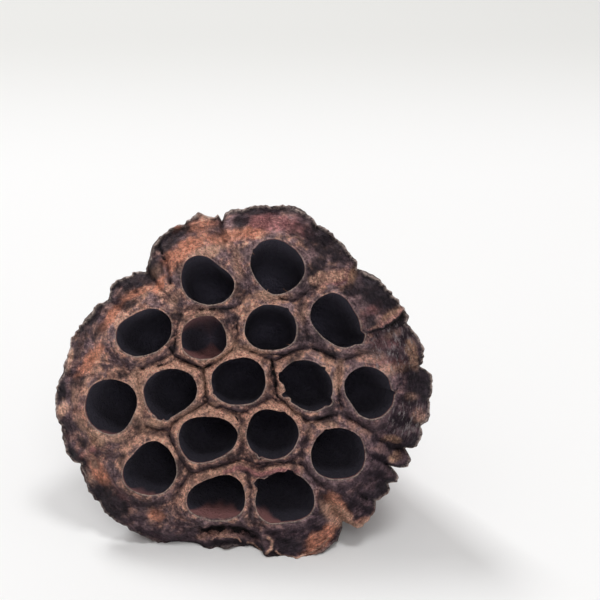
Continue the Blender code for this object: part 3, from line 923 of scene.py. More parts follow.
@dataclass
class SeedFace:
    """The face between the brim and the mouths: collars, lips, cracks, grain, flaps and stains."""

    shape: PodShape
    spacing: float = 0.34
    rim_steps: int = 840
    mouth_steps: int = 112
    lip_rings: tuple[float, ...] = (0.12, 0.26, 0.44, 0.68)
    rim_rings: tuple[float, ...] = (0.16, 0.36, 0.62)
    lip_height: float = 0.16
    lip_width: float = 0.25
    inner_fall: float = 0.35
    inner_width: float = 0.8
    furrow_depth: float = 0.45
    furrow_width: float = 1.1
    crack_depth: float = 0.45
    crack_width: float = 0.24
    collar_sway: float = 0.5
    sway_size: float = 2.4
    lump_height: float = 0.42
    leather_height: float = 0.14
    ringed_height: float = 0.17
    wrinkle_height: float = 0.2
    ripple_height: float = 0.10
    crumple_height: float = 2.3
    pleat_height: float = 0.35
    bead_height: float = 0.3
    edge_roll: float = 0.9
    brim_start: float = 0.82
    brim_turn: float = 0.21
    panel_flatness: float = 0.65
    smoothing_rounds: int = 32
    unshaded: float = 0.75
    streak_radius: float = 10.0
    grain: Grain = field(default_factory=lambda: Grain(11))
    rim: Array = field(init=False)
    mouths: list[Array] = field(init=False)

    def ring_round(self, number: int, offset: float) -> tuple[Array, Array]:
        """Returns where a ring runs that is this far outside a mouth's edge."""
        cell = SEED_CELLS[number]
        angles = circle(self.mouth_steps)
        reach = self.shape.mouth_radius(number, angles) + offset
        return cell.x + reach * np.cos(angles), cell.y + reach * np.sin(angles)

    def brim_ring(self, inset: float) -> tuple[Array, Array]:
        """Returns where a ring runs that is this far inside the brim's edge."""
        angles = circle(self.rim_steps)
        reach = self.shape.ragged_radius(angles) - inset
        return reach * np.cos(angles), reach * np.sin(angles)

    def filling(self) -> tuple[Array, Array]:
        """Returns evenly spread points that are clear of the mouths and the brim's edge."""
        reach = max(RIM_RADII) + 2
        rows = np.arange(-reach, reach, self.spacing * math.sqrt(3) / 2)
        columns = np.arange(-reach, reach, self.spacing)
        x, y = np.meshgrid(columns, rows)
        x = (x + (np.arange(len(rows)) % 2)[:, None] * self.spacing / 2).ravel()
        y = y.ravel()
        inset = self.shape.ragged_radius(np.arctan2(y, x)) - np.hypot(x, y)
        inside = inset > self.rim_rings[-1] + 0.6 * self.spacing
        x, y = x[inside], y[inside]
        clear = self.shape.mouth_distances(x, y)[0] > self.lip_rings[-1] + 0.6 * self.spacing
        return x[clear], y[clear]

    def layout(self) -> tuple[Array, list[Array]]:
        """Lays out the face's points.

        Returns:
            The flat points, one a row, and the loops of point numbers: the brim's, then each mouth's.
        """
        x, y = self.brim_ring(0)
        parts = [np.stack([x, y], 1)]
        loops = [np.arange(self.rim_steps)]
        count = self.rim_steps
        for number in range(len(SEED_CELLS)):
            parts.append(np.stack(self.ring_round(number, 0), 1))
            loops.append(np.arange(count, count + self.mouth_steps))
            count += self.mouth_steps
        for inset in self.rim_rings:
            parts.append(np.stack(self.brim_ring(inset), 1))
        for offset, number in itertools.product(self.lip_rings, range(len(SEED_CELLS))):
            x, y = self.ring_round(number, offset)
            nearest, second = self.shape.mouth_distances(x, y)[:2]
            own = (second > offset + 0.12) & (nearest > 0.6 * offset)
            parts.append(np.stack([x[own], y[own]], 1))
        parts.append(np.stack(self.filling(), 1))
        return np.concatenate(parts), loops

    def inside_loop(self, loop: Array, x: Array, y: Array) -> Array:
        """Returns whether places are inside a closed loop, by counting the sides that they are left of."""
        inside = np.zeros(len(x), bool)
        for (x0, y0), (x1, y1) in zip(loop, np.roll(loop, -1, axis=0)):
            if y0 != y1:
                crosses = (y0 > y) != (y1 > y)
                inside ^= crosses & (x < x0 + (y - y0) / (y1 - y0) * (x1 - x0))
        return inside

    def collars(self, at: FacePlaces) -> dict[str, Array]:
        """Works out the collars round the mouths, their lips, and the furrows where they meet.

        Args:
            at: the points of the face.

        Returns:
            Their height, and the masks of lip, valley and crack.
        """
        nearest = np.maximum(at.nearest, 0)
        sway = self.collar_sway * smooth(0.3, 1.6, nearest)
        x = at.x + sway * self.grain.layered(at.flat, self.sway_size, 2)
        y = at.y + sway * self.grain.layered(at.flat + 70, self.sway_size, 2)
        near, second = np.maximum(self.shape.mouth_distances(x, y)[:2], 0)
        half_wall = np.minimum((near + second) / 2, self.shape.collar_width)
        wide = smooth(self.shape.flat_half_wall, self.shape.full_half_wall, half_wall)
        across = np.clip(near / np.maximum(half_wall, 0.1), 0, 1)
        settled = smooth(19, 6, at.y + 5 * self.grain.at(at.flat + 50, 7.0)) * smooth(-31, -18, at.x)
        uneven = (0.55 + 0.45 * settled) * (1 + 0.45 * self.grain.layered(at.flat + 800, 6.0, 2))
        settled = 0.15 + 0.85 * settled
        fall = self.inner_fall * bell(near, self.inner_width)
        collar = self.shape.collar_height * (1 - 0.85 * smooth(0.05, 1.0, across)) - fall
        valley = settled * bell(second - near, self.furrow_width) * (1 - smooth(2.0, 4.5, near))
        present = smooth(-0.1, 0.5, self.grain.at(at.flat + 20, 7.0))
        crack = bell(second - near, self.crack_width) * (1 - smooth(2.4, 3.6, near)) * present
        crack = crack * smooth(0.5, 1.2, half_wall)
        lip = bell(nearest, self.lip_width)
        height = wide * uneven * (collar - self.furrow_depth * valley) - self.crack_depth * crack
        low = np.maximum(valley, 0.8 * settled * smooth(0.35, 1.0, across))
        return {
            "height": height + self.lip_height * lip,
            "lip": lip,
            "valley": low * smooth(0.5, 1.5, half_wall),
            "crack": crack,
        }

    def stains(self, at: FacePlaces) -> dict[str, Array]:
        """Returns each tint's mask, with ragged edges."""
        ragged = 0.55 * self.grain.layered(at.flat + 140, 2.2, 3)
        masks = {tint.value: np.zeros_like(at.x) for tint in Tint}
        for tint, stains in STAINS.items():
            for stain in stains:
                turn = math.radians(stain.turn)
                east, north = at.x - stain.x, at.y - stain.y
                along = (east * math.cos(turn) + north * math.sin(turn)) / stain.half_length
                across = (north * math.cos(turn) - east * math.sin(turn)) / stain.half_width
                mask = stain.strength * smooth(1.6, 0.3, np.hypot(along, across) + ragged)
                strengthen(masks, tint.value, mask)
        return masks

    def folded(self, at: FacePlaces, height: Array, masks: dict[str, Array]) -> Array:
        """Lays the cracks and ridges over the face.

        Args:
            at: the points of the face.
            height: the points' heights without them.
            masks: the masks that they are marked in.

        Returns:
            The points' heights with them.
        """
        sway = 0.28 * self.grain.at(at.flat + 200, 1.8)
        waver = 1 + 0.5 * self.grain.at(at.flat + 230, 1.6)
        broken = np.clip(0.8 + 0.7 * self.grain.at(at.flat + 260, 2.6), 0.1, 1.2)
        for fold in FOLDS:
            near = bell(distance_to_path(at.x + sway, at.y - sway, fold.path), fold.width)
            height = height + fold.height * near * waver
            if fold.tint is None:
                strengthen(masks, "crack", fold.dark * near * broken)
            else:
                strengthen(masks, fold.tint.value, near)
        return height

    def fine_relief(self, at: FacePlaces, creased: Array) -> Array:
        """Works out the leathery relief: lumps, wrinkles round the mouths and creases of the brim.

        Args:
            at: the points of the face.
            creased: how strong the brim's creases are.

        Returns:
            The relief at each point.
        """
        grain = self.grain
        lumps = grain.layered(at.flat, 3.0, 2)
        warped = at.flat + 0.8 * flat_places(grain.at(at.flat + 400, 2.2), grain.at(at.flat + 500, 2.2))
        leather = grain.creased(warped + 40, 2.2) + 0.6 * grain.creased(warped + 60, 1.2)
        ringed = grain.creased(at.flow + 70, 1.5) + 0.5 * grain.creased(at.flow + 90, 0.9)
        ringed = ringed * smooth(0.1, 1.0, at.second - at.nearest)
        rays = round_places(at.angle, self.shape.brim_reach, 0.22 * at.reach)
        wrinkles = grain.creased(rays, 3.1) + 0.7 * grain.creased(rays + 9, 1.5)
        ripples = grain.creased(round_places(at.angle, 7, at.reach) + 33, 1.9)
        calm = 0.2 + 0.8 * smooth(0.2, 1.6, at.nearest)
        fine = self.lump_height * lumps + self.leather_height * leather + self.ringed_height * ringed
        return calm * fine + creased * (self.wrinkle_height * wrinkles + self.ripple_height * ripples)

    def relief(self, at: FacePlaces) -> tuple[Array, Array, dict[str, Array]]:
        """Works out the face's whole relief and what its finish needs.

        Args:
            at: the points of the face.

        Returns:
            The height of each point, the fine part of it, and the masks.
        """
        shape, grain = self.shape, self.grain
        shaded = smooth(12, 34, at.x - 0.55 * at.y + 4 * grain.at(at.flat + 17, 8.0))
        start = self.brim_start - 0.13 * shaded
        outward = at.outward + 0.05 * grain.layered(at.flat + 7, 5.0, 2)
        on_brim = smooth(start, start + self.brim_turn, outward)
        masks = self.collars(at)
        collars = masks.pop("height")
        masks.update(self.stains(at))
        for name, share in (("valley", 0.8), ("crack", 0.9)):
            masks[name] = masks[name] * (1 - share * np.minimum(masks["pale"], 1))

        height = shape.dome_height * (1 - at.outward**2) + collars
        height = height + smooth(shape.brim_from, 1, at.outward) * shape.brim_bend(at.angle)
        height = height + 1.3 * shape.lobe_lift(at.angle, at.reach, at.outward)
        # The gaps under the flaps are painted dark as their shadow.
        gap_shadow, crest = shape.lobe_seam(at.angle, at.reach, at.outward)
        strengthen(masks, "crack", gap_shadow)
        strengthen(masks, "pale", 0.45 * crest)
        strengthen(masks, "rose", 0.9 * crest)
        height = self.folded(at, height, masks)

        creased = on_brim * (1 - self.panel_flatness * shape.lobe_panel(at.angle, at.reach))
        fine = self.fine_relief(at, creased)
        crumple = grain.layered(at.flat + 110, 5.5, 2)
        pleats = grain.creased(round_places(at.angle, shape.brim_reach, 0.22 * at.reach * 0.6) + 15, 7.0)
        height = height + fine + creased * (self.crumple_height * crumple + self.pleat_height * pleats)
        height = height - shape.tear_furrows(at.angle, at.outward)
        inset = at.edge + shape.serrations(at.angle) - at.reach
        bead = self.bead_height * bell(inset - 0.3, 0.35) * (1 + grain.at(at.flat + 600, 1.4))
        height = height + bead - self.edge_roll * smooth(2.4, 0, inset)

        upper_glint = smooth(9, 3, np.hypot(at.x - 35, 0.9 * (at.y - 7.5)))
        lower_glint = smooth(6, 2, np.hypot(0.8 * (at.x - 39), at.y + 8.5))
        warm_middle = smooth(42, 12, np.hypot(at.x + 10, at.y + 8)) * (1 - 0.7 * shaded)
        # The lips are painted brighter on the lower side of each mouth, a painted highlight where the edge
        # faces up.
        masks["lip"] = masks["lip"] * (0.7 - 0.5 * at.flow[:, 1] / shape.flow_radius)
        masks["brim"] = on_brim
        # The frayed edge is painted paler as a painted highlight where its beads catch the light, less
        # towards the bottom.
        masks["edge"] = bell(inset - 0.1, 0.42) * (0.35 + 0.65 * smooth(-34, -20, at.y))
        masks["shade"] = shaded
        masks["glint"] = np.maximum(upper_glint, lower_glint)
        masks["warmth"] = np.clip(warm_middle + 0.35 * grain.layered(at.flat + 300, 7.0, 2), 0, 1)
        return height, fine, masks

    def standing(self, height: Array, triangles: Array) -> Array:
        """Works out how far each point of the face stands out from what is around it.

        Args:
            height: the points' heights.
            triangles: the points' numbers in each triangle.

        Returns:
            From 0 in a hollow to 1 on a crest.
        """
        starts = triangles.ravel()
        ends = np.roll(triangles, -1, axis=1).ravel()
        starts, ends = np.concatenate([starts, ends]), np.concatenate([ends, starts])
        neighbours = np.maximum(np.bincount(starts, minlength=len(height)), 1)
        calm = height
        for _ in range(self.smoothing_rounds):
            calm = 0.5 * (calm + np.bincount(starts, calm[ends], len(height)) / neighbours)
        standing = height - calm
        return np.clip(0.5 + 0.22 * standing / standing.std(), 0, 1)

    def slope(self, points: Array, triangles: Array) -> Array:
        """Works out how far each point of the face looks upward.

        Args:
            points: the points, one a row.
            triangles: the points' numbers in each triangle.

        Returns:
            The upward part of each point's normal, from -1 to 1.
        """
        a, b, c = (points[triangles[:, k]] for k in range(3))
        across = np.cross(b - a, c - a)
        across = across * np.sign(across[:, 2:3])
        total = np.zeros_like(points)
        for k in range(3):
            np.add.at(total, triangles[:, k], across)
        return total[:, 1] / np.maximum(np.linalg.norm(total, axis=1), 1e-9)

    def build(self, skin: Skin) -> None:
        """Adds the face to the skin, and keeps the loops of the brim and the mouths.

        Args:
            skin: the surface to add it to.
        """
        points, loops = self.layout()
        edges = [(int(a), int(b)) for loop in loops for a, b in zip(loop, np.roll(loop, -1))]
        given = [Vector(point) for point in points]
        places, _, triangles, *_ = geometry.delaunay_2d_cdt(given, edges, [], 0, 1e-6)
        flat = np.array(places)
        triangles = np.array(triangles)
        at = FacePlaces(self.shape, *flat.T)
        height, fine, masks = self.relief(at)
        broad = height - self.unshaded * fine
        middle_x, middle_y = flat[triangles].mean(axis=1).T
        kept = self.inside_loop(points[loops[0]], middle_x, middle_y)
        for loop in loops[1:]:
            kept &= ~self.inside_loop(points[loop], middle_x, middle_y)
        triangles = triangles[kept]
        # The slope and relief masks paint light and shade into the colour: up-facing slopes and crests
        # lighter, down-facing slopes and hollows darker.
        masks["slope"] = self.slope(np.column_stack([flat, broad]), triangles)
        masks["relief"] = self.standing(broad, triangles)
        streaks = round_places(at.angle, self.streak_radius, at.reach)
        numbers = skin.add(np.column_stack([flat, height]), masks, streaks, at.flow)
        skin.triangles.append(numbers[triangles])
        self.rim, *self.mouths = [numbers[loop] for loop in loops]


@dataclass
class SeedCells:
    """The empty cells behind the mouths."""

    meeting_depth: float = 78.0
    halved_at: float = 3.0
    depths: tuple[float, ...] = (0.18, 0.45, 0.9, 1.5, 2.3, 3.2, 4.6, 6.6, 9.0, 11.6, 13.8, 15.4, 16.4)
    full_depth: float = 17.0
    seen_slant: float = 0.28
    taper: tuple[tuple[float, float], ...] = (
        (0, 1), (0.12, 1.02), (0.45, 0.99), (0.78, 0.84), (0.96, 0.48),
    )  # fmt: skip
    wrinkle: float = 0.16
    edge_fade: float = 4.0
    grain: Grain = field(default_factory=lambda: Grain(23))

    def blackness(self, number: int, sideways: Array, depth: float) -> Array:
        """Works out how far a cell's wall has turned from the reddish tissue, painted where light falls on
        it, to black painted shade.

        Args:
            number: the cell's place in the list of cells.
            sideways: the mouth's edge as seen from its middle, one point a row.
            depth: how deep the wall is looked at.

        Returns:
            From 0, reddish painted light, to 1, black painted shade, below each point of the edge.
        """
        black = smooth(0, 0.6, np.full(len(sideways), depth))
        for wall in LIT_RED_WALLS:
            if wall.cell == number:
                heading = math.radians(wall.angle)
                reach = sideways @ (math.cos(heading), math.sin(heading))
                waves = 0.15 * np.sin(1.9 * sideways[:, 0] + number)
                shown = np.maximum(wall.rise + waves - (reach.max() - reach), 0.1) / self.seen_slant
                black = np.minimum(black, 1 - wall.strength * smooth(1.2, 0.0, depth / shown))
        return black

    def build(self, skin: Skin, mouths: list[Array]) -> None:
        """Adds a cell behind every mouth.

        Args:
            skin: the surface to add them to.
            mouths: each mouth's loop of point numbers.
        """
        points = np.concatenate(skin.points)
        shares, widths = np.array(self.taper).T
        for number, (cell, mouth) in enumerate(zip(SEED_CELLS, mouths)):
            middle = np.array([cell.x, cell.y])
            edge, ring = points[mouth], mouth
            level = edge[:, 2].mean()
            for depth in np.array(self.depths) * cell.depth / self.full_depth:
                if depth > self.halved_at and len(ring) == len(mouth):
                    edge = edge[::2]
                width = np.interp(depth / cell.depth, shares, widths)
                inward = 1 - depth / self.meeting_depth
                top = level + (edge[:, 2] - level) * math.exp(-depth / self.edge_fade)
                sideways = edge[:, :2] - middle
                length = np.linalg.norm(sideways, axis=1)
                upward = sideways[:, 1] / length
                wall = np.column_stack([(middle + sideways * width) * inward, top - depth])
                wrinkles = self.grain.layered(wall * (1, 1, 0.5), 2.2, 2)
                pushed = self.wrinkle * wrinkles * smooth(0.1, 1.2, depth)
                wall[:, :2] += sideways * pushed[:, None] / length[:, None]
                # Painted light and shade in the cells: lit walls reddish and the rest dark, a painted
                # highlight at the lip that is stronger on the lower side, and a shade share that paints
                # lower, shallower walls darker and upper, deeper walls lighter to even out the light
                # falling in.
                masks = {
                    "depth": self.blackness(number, sideways, depth),
                    "lip": 0.8 * bell(depth, 0.25) * (0.7 - 0.5 * upward),
                    "shade": (0.25 + 0.75 * smooth(6, 16, depth)) * (0.6 + 0.4 * upward),
                    "relief": 0.5 + 0.4 * self.grain.layered(wall, 1.2, 2),
                }
                following = skin.add(wall, masks, wall * (1, 1, 0.4))
                skin.bridge(ring, following)
                ring = following
            bottom = np.array([*(middle * (1 - cell.depth / self.meeting_depth)), level - cell.depth])
            skin.close(ring, bottom, {"depth": masks["depth"].mean(), "shade": 0.5})


@dataclass
class Cone:
    """The folded, streaked cone from the back of the brim to the neck."""

    shape: PodShape
    profile: tuple[tuple[float, float], ...] = (
        (0.0, 1.0), (-1.7, 0.975), (-3.6, 0.945), (-7.0, 0.905), (-12.0, 0.85), (-18.0, 0.775),
        (-25.0, 0.675), (-33.0, 0.565), (-42.0, 0.46), (-50.0, 0.378), (-57.0, 0.312), (-62.0, 0.25),
        (-65.3, 0.185),
    )  # fmt: skip
    edge_heights: tuple[float, ...] = (-0.28, -0.62, -1.05, -1.6)
    row_heights: tuple[float, ...] = tuple(np.linspace(-2.3, -65.3, 58))
    halved_at: tuple[float, float] = (-2.0, -44.0)
    fold_height: float = 1.7
    streak_height: float = 0.3
    crumple_height: float = 0.3
    reach: float = 42.0
    stretch: float = 9.0
    twist: float = 0.03
    grain: Grain = field(default_factory=lambda: Grain(41))

    def share_at(self, height: float) -> float:
        """Returns the radius as a share of the brim's, on a smooth curve through the profile."""
        heights, shares = np.array(self.profile[::-1]).T
        slopes = np.gradient(shares, heights)
        k = int(np.clip(np.searchsorted(heights, height) - 1, 0, len(heights) - 2))
        span = heights[k + 1] - heights[k]
        t = (height - heights[k]) / span
        start, end = shares[k], shares[k + 1]
        rise = start * (1 + 2 * t) * (1 - t) ** 2 + end * t * t * (3 - 2 * t)
        return rise + span * (slopes[k] * t * (1 - t) ** 2 - slopes[k + 1] * t * t * (1 - t))

    def ring(self, height: float, steps: int, rim_height: Array) -> tuple[Array, dict[str, Array], Array]:
        """Works out one ring of the cone.

        Args:
            height: the ring's height behind the face.
            steps: how many points it has.
            rim_height: the height of the brim's edge at every angle of the full ring.

        Returns:
            The ring's points, their masks, and the same points squeezed along the streaks.
        """
        shape, grain = self.shape, self.grain
        angle = circle(steps)
        share = self.share_at(height)
        twist = self.twist * grain.at(round_places(angle, 20, height / 12), 6.0)[:, None]
        sideways = flat_places(-np.sin(angle), np.cos(angle))
        stretched = round_places(angle, self.reach, height / self.stretch) + twist * self.reach * sideways
        slim = 0.35 + 0.65 * share
        folds = 0.4 * grain.creased(stretched + 50, 3.2) - grain.creased(stretched, 7.5)
        folds = folds - 0.5 * grain.creased(stretched + 90, 4.0)
        streaks = grain.creased(stretched * (1, 1, 1.4) + 80, 1.5)
        crumple = grain.layered(round_places(angle, shape.mean_radius * share, height), 5.5, 2)
        away = smooth(-0.2, -4.0, height)
        fine = away * slim * (self.fold_height * folds * 0.5 + self.streak_height * streaks)
        radius = shape.skin_radius(angle, height, share) + fine
        radius = radius + self.crumple_height * away * slim * crumple
        radius = radius + shape.serrations(angle) * math.exp(height / 1.5)
        bend = shape.brim_bend(angle) + shape.lobe_lift(angle, shape.rim_radius(angle))
        edge = rim_height[:: len(rim_height) // steps] - bend
        z = height + bend * math.exp(height / shape.bend_fade) + edge * math.exp(height / 1.3)
        points = round_places(angle, radius, z)
        points[:, :2] += shape.lean(height)
        rust = smooth(0.15, 0.75, grain.layered(round_places(angle, 26, height / 2.2 + 4), 13.0, 2))
        # The relief mask paints the cone's fold crests lighter and hollows darker, and the edge mask
        # carries the brim's painted edge highlight.
        masks = {
            "cone": 1.0,
            "relief": np.clip(0.55 + 0.3 * folds + 0.15 * streaks, 0, 1),
            "rust": 0.75 * rust * smooth(-3, -9, height) * (1 - smooth(-40, -58, height)),
            "edge": bell(height, 0.4),
            "brim": bell(height, 1.5),
        }
        drawn_out = smooth(-0.5, -7.0, height)
        squeezed = points * (1, 1, 0.12) * (1 - drawn_out) + stretched * (1, 1, 0.8) * drawn_out
        return points, masks, squeezed

    def build(self, skin: Skin, rim: Array) -> None:
        """Adds the cone behind the brim's edge, and closes it inside the neck.

        Args:
            skin: the surface to add it to.
            rim: the brim's loop of point numbers.
        """
        rim_height = np.concatenate(skin.points)[rim, 2]
        ring = rim
        for height in (*self.edge_heights, *self.row_heights):
            halvings = sum(height < level for level in self.halved_at)
            following = skin.add(*self.ring(height, len(rim) // 2**halvings, rim_height))
            skin.bridge(ring, following)
            ring = following
        lowest = self.row_heights[-1]
        skin.close(ring, np.array([*self.shape.lean(lowest), lowest - 0.5]), {"cone": 1.0})


@dataclass
class StemStub:
    """The stub of the stem: a pale neck where the cone is drawn together, and a shrunken wrinkled knob."""

    shape: PodShape
    profile: tuple[tuple[float, float], ...] = (
        (-62.0, 6.0), (-64.5, 7.6), (-65.8, 7.4), (-66.8, 6.1), (-68.6, 5.2), (-72.5, 4.7), (-75.2, 4.5),
        (-76.4, 4.7), (-78.0, 5.7), (-80.6, 6.3), (-83.2, 5.8), (-85.2, 4.2), (-86.2, 2.2),
    )  # fmt: skip
    steps: int = 144
    rows: int = 96
    grooves: int = 9
    groove_depth: float = 0.4
    wrinkle: float = 0.22
    grain: Grain = field(default_factory=lambda: Grain(67))

    def build(self, pose: Pose) -> bpy.types.Object:
        """Makes the stub as a piece of its own.

        Args:
            pose: how the pod lies.

        Returns:
            The new piece.
        """
        skin = Skin()
        heights, radii = np.array(self.profile).T
        angle = circle(self.steps)
        ring = skin.add(np.array([[*self.shape.lean(heights[0]), heights[0]]]), {})
        for height in np.linspace(heights[0], heights[-1], self.rows):
            radius = np.interp(-height, -heights, radii)
            knob = float(smooth(-76.0, -78.0, height))
            place = round_places(angle, radius, height / 4)
            coarse = self.grain.creased(place + 10, 3.0)
            fine = self.grain.creased(place * (1.5, 1.5, 1.2), 1.4)
            banded = self.grain.layered(round_places(angle, 0.4 * radius, height), 1.3, 2)
            groove = self.groove_depth * np.cos(self.grooves * angle + 0.15 * height)
            groove = groove * smooth(-66, -70, height)
            relief = self.wrinkle * ((1 + knob) * coarse + 0.6 * fine + (1 - 0.5 * knob) * banded)
            points = round_places(angle, radius - groove + relief, height)
            points[:, :2] += self.shape.lean(height)
            # Painted light and shade on the stub: the creases at the collar and the knob painted dark, the
            # crests of the neck's wrinkles paler as a painted highlight, and the relief mask lighter on
            # crests.
            masks = {
                "relief": np.clip(0.55 + (0.08 + 0.22 * knob) * coarse + 0.15 * fine, 0, 1),
                "cone": knob,
                "shade": 0.6,
                "crack": 0.8 * bell(height + 76.0, 0.7) + 0.7 * bell(height + 66.6, 0.5),
                "rust": 0.8 * smooth(-84.4, -86.0, height) + 0.3 * bell(height + 80, 1.5),
                "pale": 0.6 * (1 - knob) * smooth(0.0, 0.8, coarse),
            }
            following = skin.add(points, masks, points * (1, 1, 0.3))
            skin.bridge(ring, following)
            ring = following
        tip = self.shape.stem_tip
        skin.close(ring, np.array([*self.shape.lean(tip), tip]), {"cone": 1.0, "rust": 0.8})
        return skin.piece("stem_stub", pose)


@dataclass(frozen=True)
class Fibre:
    """One loose fibre at a mouth's lip: where it starts, where it points, its length and its bend."""

    x: float
    y: float
    heading: float
    length: float
    bend: float


@dataclass
class LipFibres:
    """The pale fibres that stand loose at the lips of a few mouths."""

    shape: PodShape
    face: SeedFace
    fibres: tuple[Fibre, ...] = (
        Fibre(10.75, 21.45, 138, 1.7, 0.15),
        Fibre(5.6, 21.9, 60, 0.7, 0.1),
        Fibre(3.6, 22.9, 118, 1.0, -0.15),
        Fibre(2.2, 31.0, -60, 0.8, 0.2),
        Fibre(10.9, 9.1, 150, 0.7, 0.2),
    )
    radius: float = 0.07
    taper: float = 0.75
    climb: float = 0.12
    sunk: float = 0.25
    sides: int = 6
    steps: int = 7

    def build(self, pose: Pose) -> bpy.types.Object:
        """Makes the fibres as one piece of thin tapered tubes.

        Args:
            pose: how the pod lies.

        Returns:
            The new piece.
        """
        skin = Skin()
        angle = circle(self.sides)[:, None]
        upward = np.array([0.0, 0.0, 1.0])
        for fibre in self.fibres:
            heading = math.radians(fibre.heading)
            forward = np.array([math.cos(heading), math.sin(heading), self.climb])
            sideways = np.array([-math.sin(heading), math.cos(heading), 0.0])
            level, *_ = self.face.relief(FacePlaces(self.shape, np.array([fibre.x]), np.array([fibre.y])))
            root = np.array([fibre.x, fibre.y, level[0] - self.sunk])
            ring = skin.add((root - 0.3 * forward)[None, :], {})
            for share in np.linspace(0, 1, self.steps):
                centre = root + forward * fibre.length * share + sideways * fibre.bend * share**2
                thick = self.radius * (1 - self.taper * share)
                points = centre + thick * (np.cos(angle) * sideways + np.sin(angle) * upward)
                following = skin.add(points, {"pale": 1.0})
                skin.bridge(ring, following)
                ring = following
            skin.close(ring, centre + 0.05 * forward, {"pale": 1.0})
        return skin.piece("lip_fibres", pose)


class NodeBench:
    """Places and joins the nodes of one material."""

    def __init__(self, name: str) -> None:
        """Makes the material with its one shader.

        Args:
            name: the material's name.
        """
        self.material = bpy.data.materials.new(name)
        self.material.use_nodes = True
        self.tree = self.material.node_tree
        self.shader = self.tree.nodes["Principled BSDF"]

    def node(self, kind: str, inputs: dict, **settings: object) -> bpy.types.Node:
        """Adds a node.

        Args:
            kind: Blender's name of the node's type.
            inputs: for each input's name or number, a socket to join it to or a value.
            settings: the node's own settings.

        Returns:
            The new node.
        """
        made = self.tree.nodes.new(kind)
        for name, value in settings.items():
            setattr(made, name, value)
        for key, value in inputs.items():
            self.feed(made.inputs[key], value)
        return made

    def feed(self, socket: bpy.types.NodeSocket, value: object) -> None:
        """Joins a socket to another one, or sets its value."""
        if isinstance(value, bpy.types.NodeSocket):
            self.tree.links.new(value, socket)
        else:
            socket.default_value = value

    def mask(self, name: str) -> bpy.types.NodeSocket:
        """Reads one of the skin's masks."""
        return self.node("ShaderNodeAttribute", {}, attribute_name=name).outputs["Fac"]

    def places(self, name: str) -> bpy.types.NodeSocket:
        """Reads one of the skin's sets of places."""
        return self.node("ShaderNodeAttribute", {}, attribute_name=name).outputs["Vector"]

    def product(self, a: object, b: object) -> bpy.types.NodeSocket:
        """Multiplies two values."""
        return self.node("ShaderNodeMath", {0: a, 1: b}, operation="MULTIPLY").outputs[0]

    def plus(self, total: object, value: object, share: float = 1.0) -> bpy.types.NodeSocket:
        """Adds a share of a value to another one."""
        inputs = {0: value, 1: share, 2: total}
        return self.node("ShaderNodeMath", inputs, operation="MULTIPLY_ADD").outputs[0]

    def ramp(
        self, value: object, low: float, high: float, start: float = 0, end: float = 1
    ) -> bpy.types.NodeSocket:
        """Spreads a value smoothly from one range to another, and clamps it."""
        inputs = {"Value": value, "From Min": low, "From Max": high, "To Min": start, "To Max": end}
        return self.node("ShaderNodeMapRange", inputs, interpolation_type="SMOOTHSTEP").outputs[0]

    def noise(
        self, place: object, size: float, detail: float = 3, roughness: float = 0.55
    ) -> bpy.types.NodeSocket:
        """Returns cloudy noise whose lumps are this many millimetres wide."""
        inputs = {"Vector": place, "Scale": 1 / size, "Detail": detail, "Roughness": roughness}
        return self.node("ShaderNodeTexNoise", inputs).outputs["Fac"]

    def wrinkles(self, place: object, size: float) -> bpy.types.NodeSocket:
        """Returns sharp crossing ridges that are this many millimetres apart, from about 0 to 2."""
        inputs = {"Vector": place, "Scale": 1 / size, "Detail": 3, "Roughness": 0.55}
        inputs |= {"Distortion": 0.4, "Offset": 1, "Gain": 1}
        return self.node("ShaderNodeTexNoise", inputs, noise_type="RIDGED_MULTIFRACTAL").outputs["Fac"]

    def number_mix(self, share: object, a: object, b: object) -> bpy.types.NodeSocket:
        """Mixes two values."""
        return self.node("ShaderNodeMix", {0: share, 2: a, 3: b}, data_type="FLOAT").outputs[0]

    def mix(self, share: object, a: object, b: object, blend: str = "MIX") -> bpy.types.NodeSocket:
        """Mixes two colours."""
        a, b = ((*colour, 1) if isinstance(colour, tuple) else colour for colour in (a, b))
        inputs = {0: share, 6: a, 7: b}
        return self.node("ShaderNodeMix", inputs, data_type="RGBA", blend_type=blend).outputs[2]

    def tone(self, colour: object, value: object) -> bpy.types.NodeSocket:
        """Makes a colour lighter or darker by a factor."""
        return self.node("ShaderNodeVectorMath", {0: colour, "Scale": value}, operation="SCALE").outputs[0]


class PodTextures:
    """The masks and noises that the pod's finish is mixed from."""

    def __init__(self, bench: NodeBench) -> None:
        """Adds their nodes.

        Args:
            bench: the material that they are for.
        """
        self.place = bench.places("own_place")
        self.stretch = bench.places("streak_place")
        self.flow = bench.places("flow_place")
        self.cone = bench.mask("cone")
        self.brim = bench.mask("brim")
        self.relief = bench.mask("relief")
        self.slope = bench.mask("slope")
        flat_place = bench.mix(self.cone, self.place, self.stretch)
        self.grain = bench.noise(flat_place, 0.9, 5, 0.68)
        self.flecks = bench.noise(flat_place, 0.8, 3, 0.6)
        self.mottle = bench.noise(flat_place, 1.7, 4, 0.7)
        self.sparks = bench.noise(flat_place, 0.45, 3, 0.6)
        self.clouds = bench.noise(self.place, 3.4, 3)
        self.streaks = bench.noise(self.stretch, 0.85, 4, 0.62)
        self.wrinkles = bench.ramp(bench.wrinkles(self.place, 1.6), 0.45, 1.55)
        self.lines = bench.number_mix(self.brim, bench.noise(self.flow, 1.1, 4, 0.62), self.streaks)
        face_threads = bench.noise(self.flow, 0.5, 3, 0.6)
        brim_threads = bench.noise(self.stretch, 0.4, 3, 0.6)
        self.threads = bench.number_mix(self.brim, face_threads, brim_threads)
        # high mixes grain lines and mottle with painted light and shade: crests and up-facing slopes
        # lighter, hollows and down-facing slopes darker.
        high = bench.plus(bench.ramp(self.lines, 0.38, 0.62, 0.05, 0.4), self.relief, 0.7)
        high = bench.plus(high, bench.ramp(self.mottle, 0.36, 0.64, -0.08, 0.22))
        self.high = bench.plus(high, self.slope, 0.65)


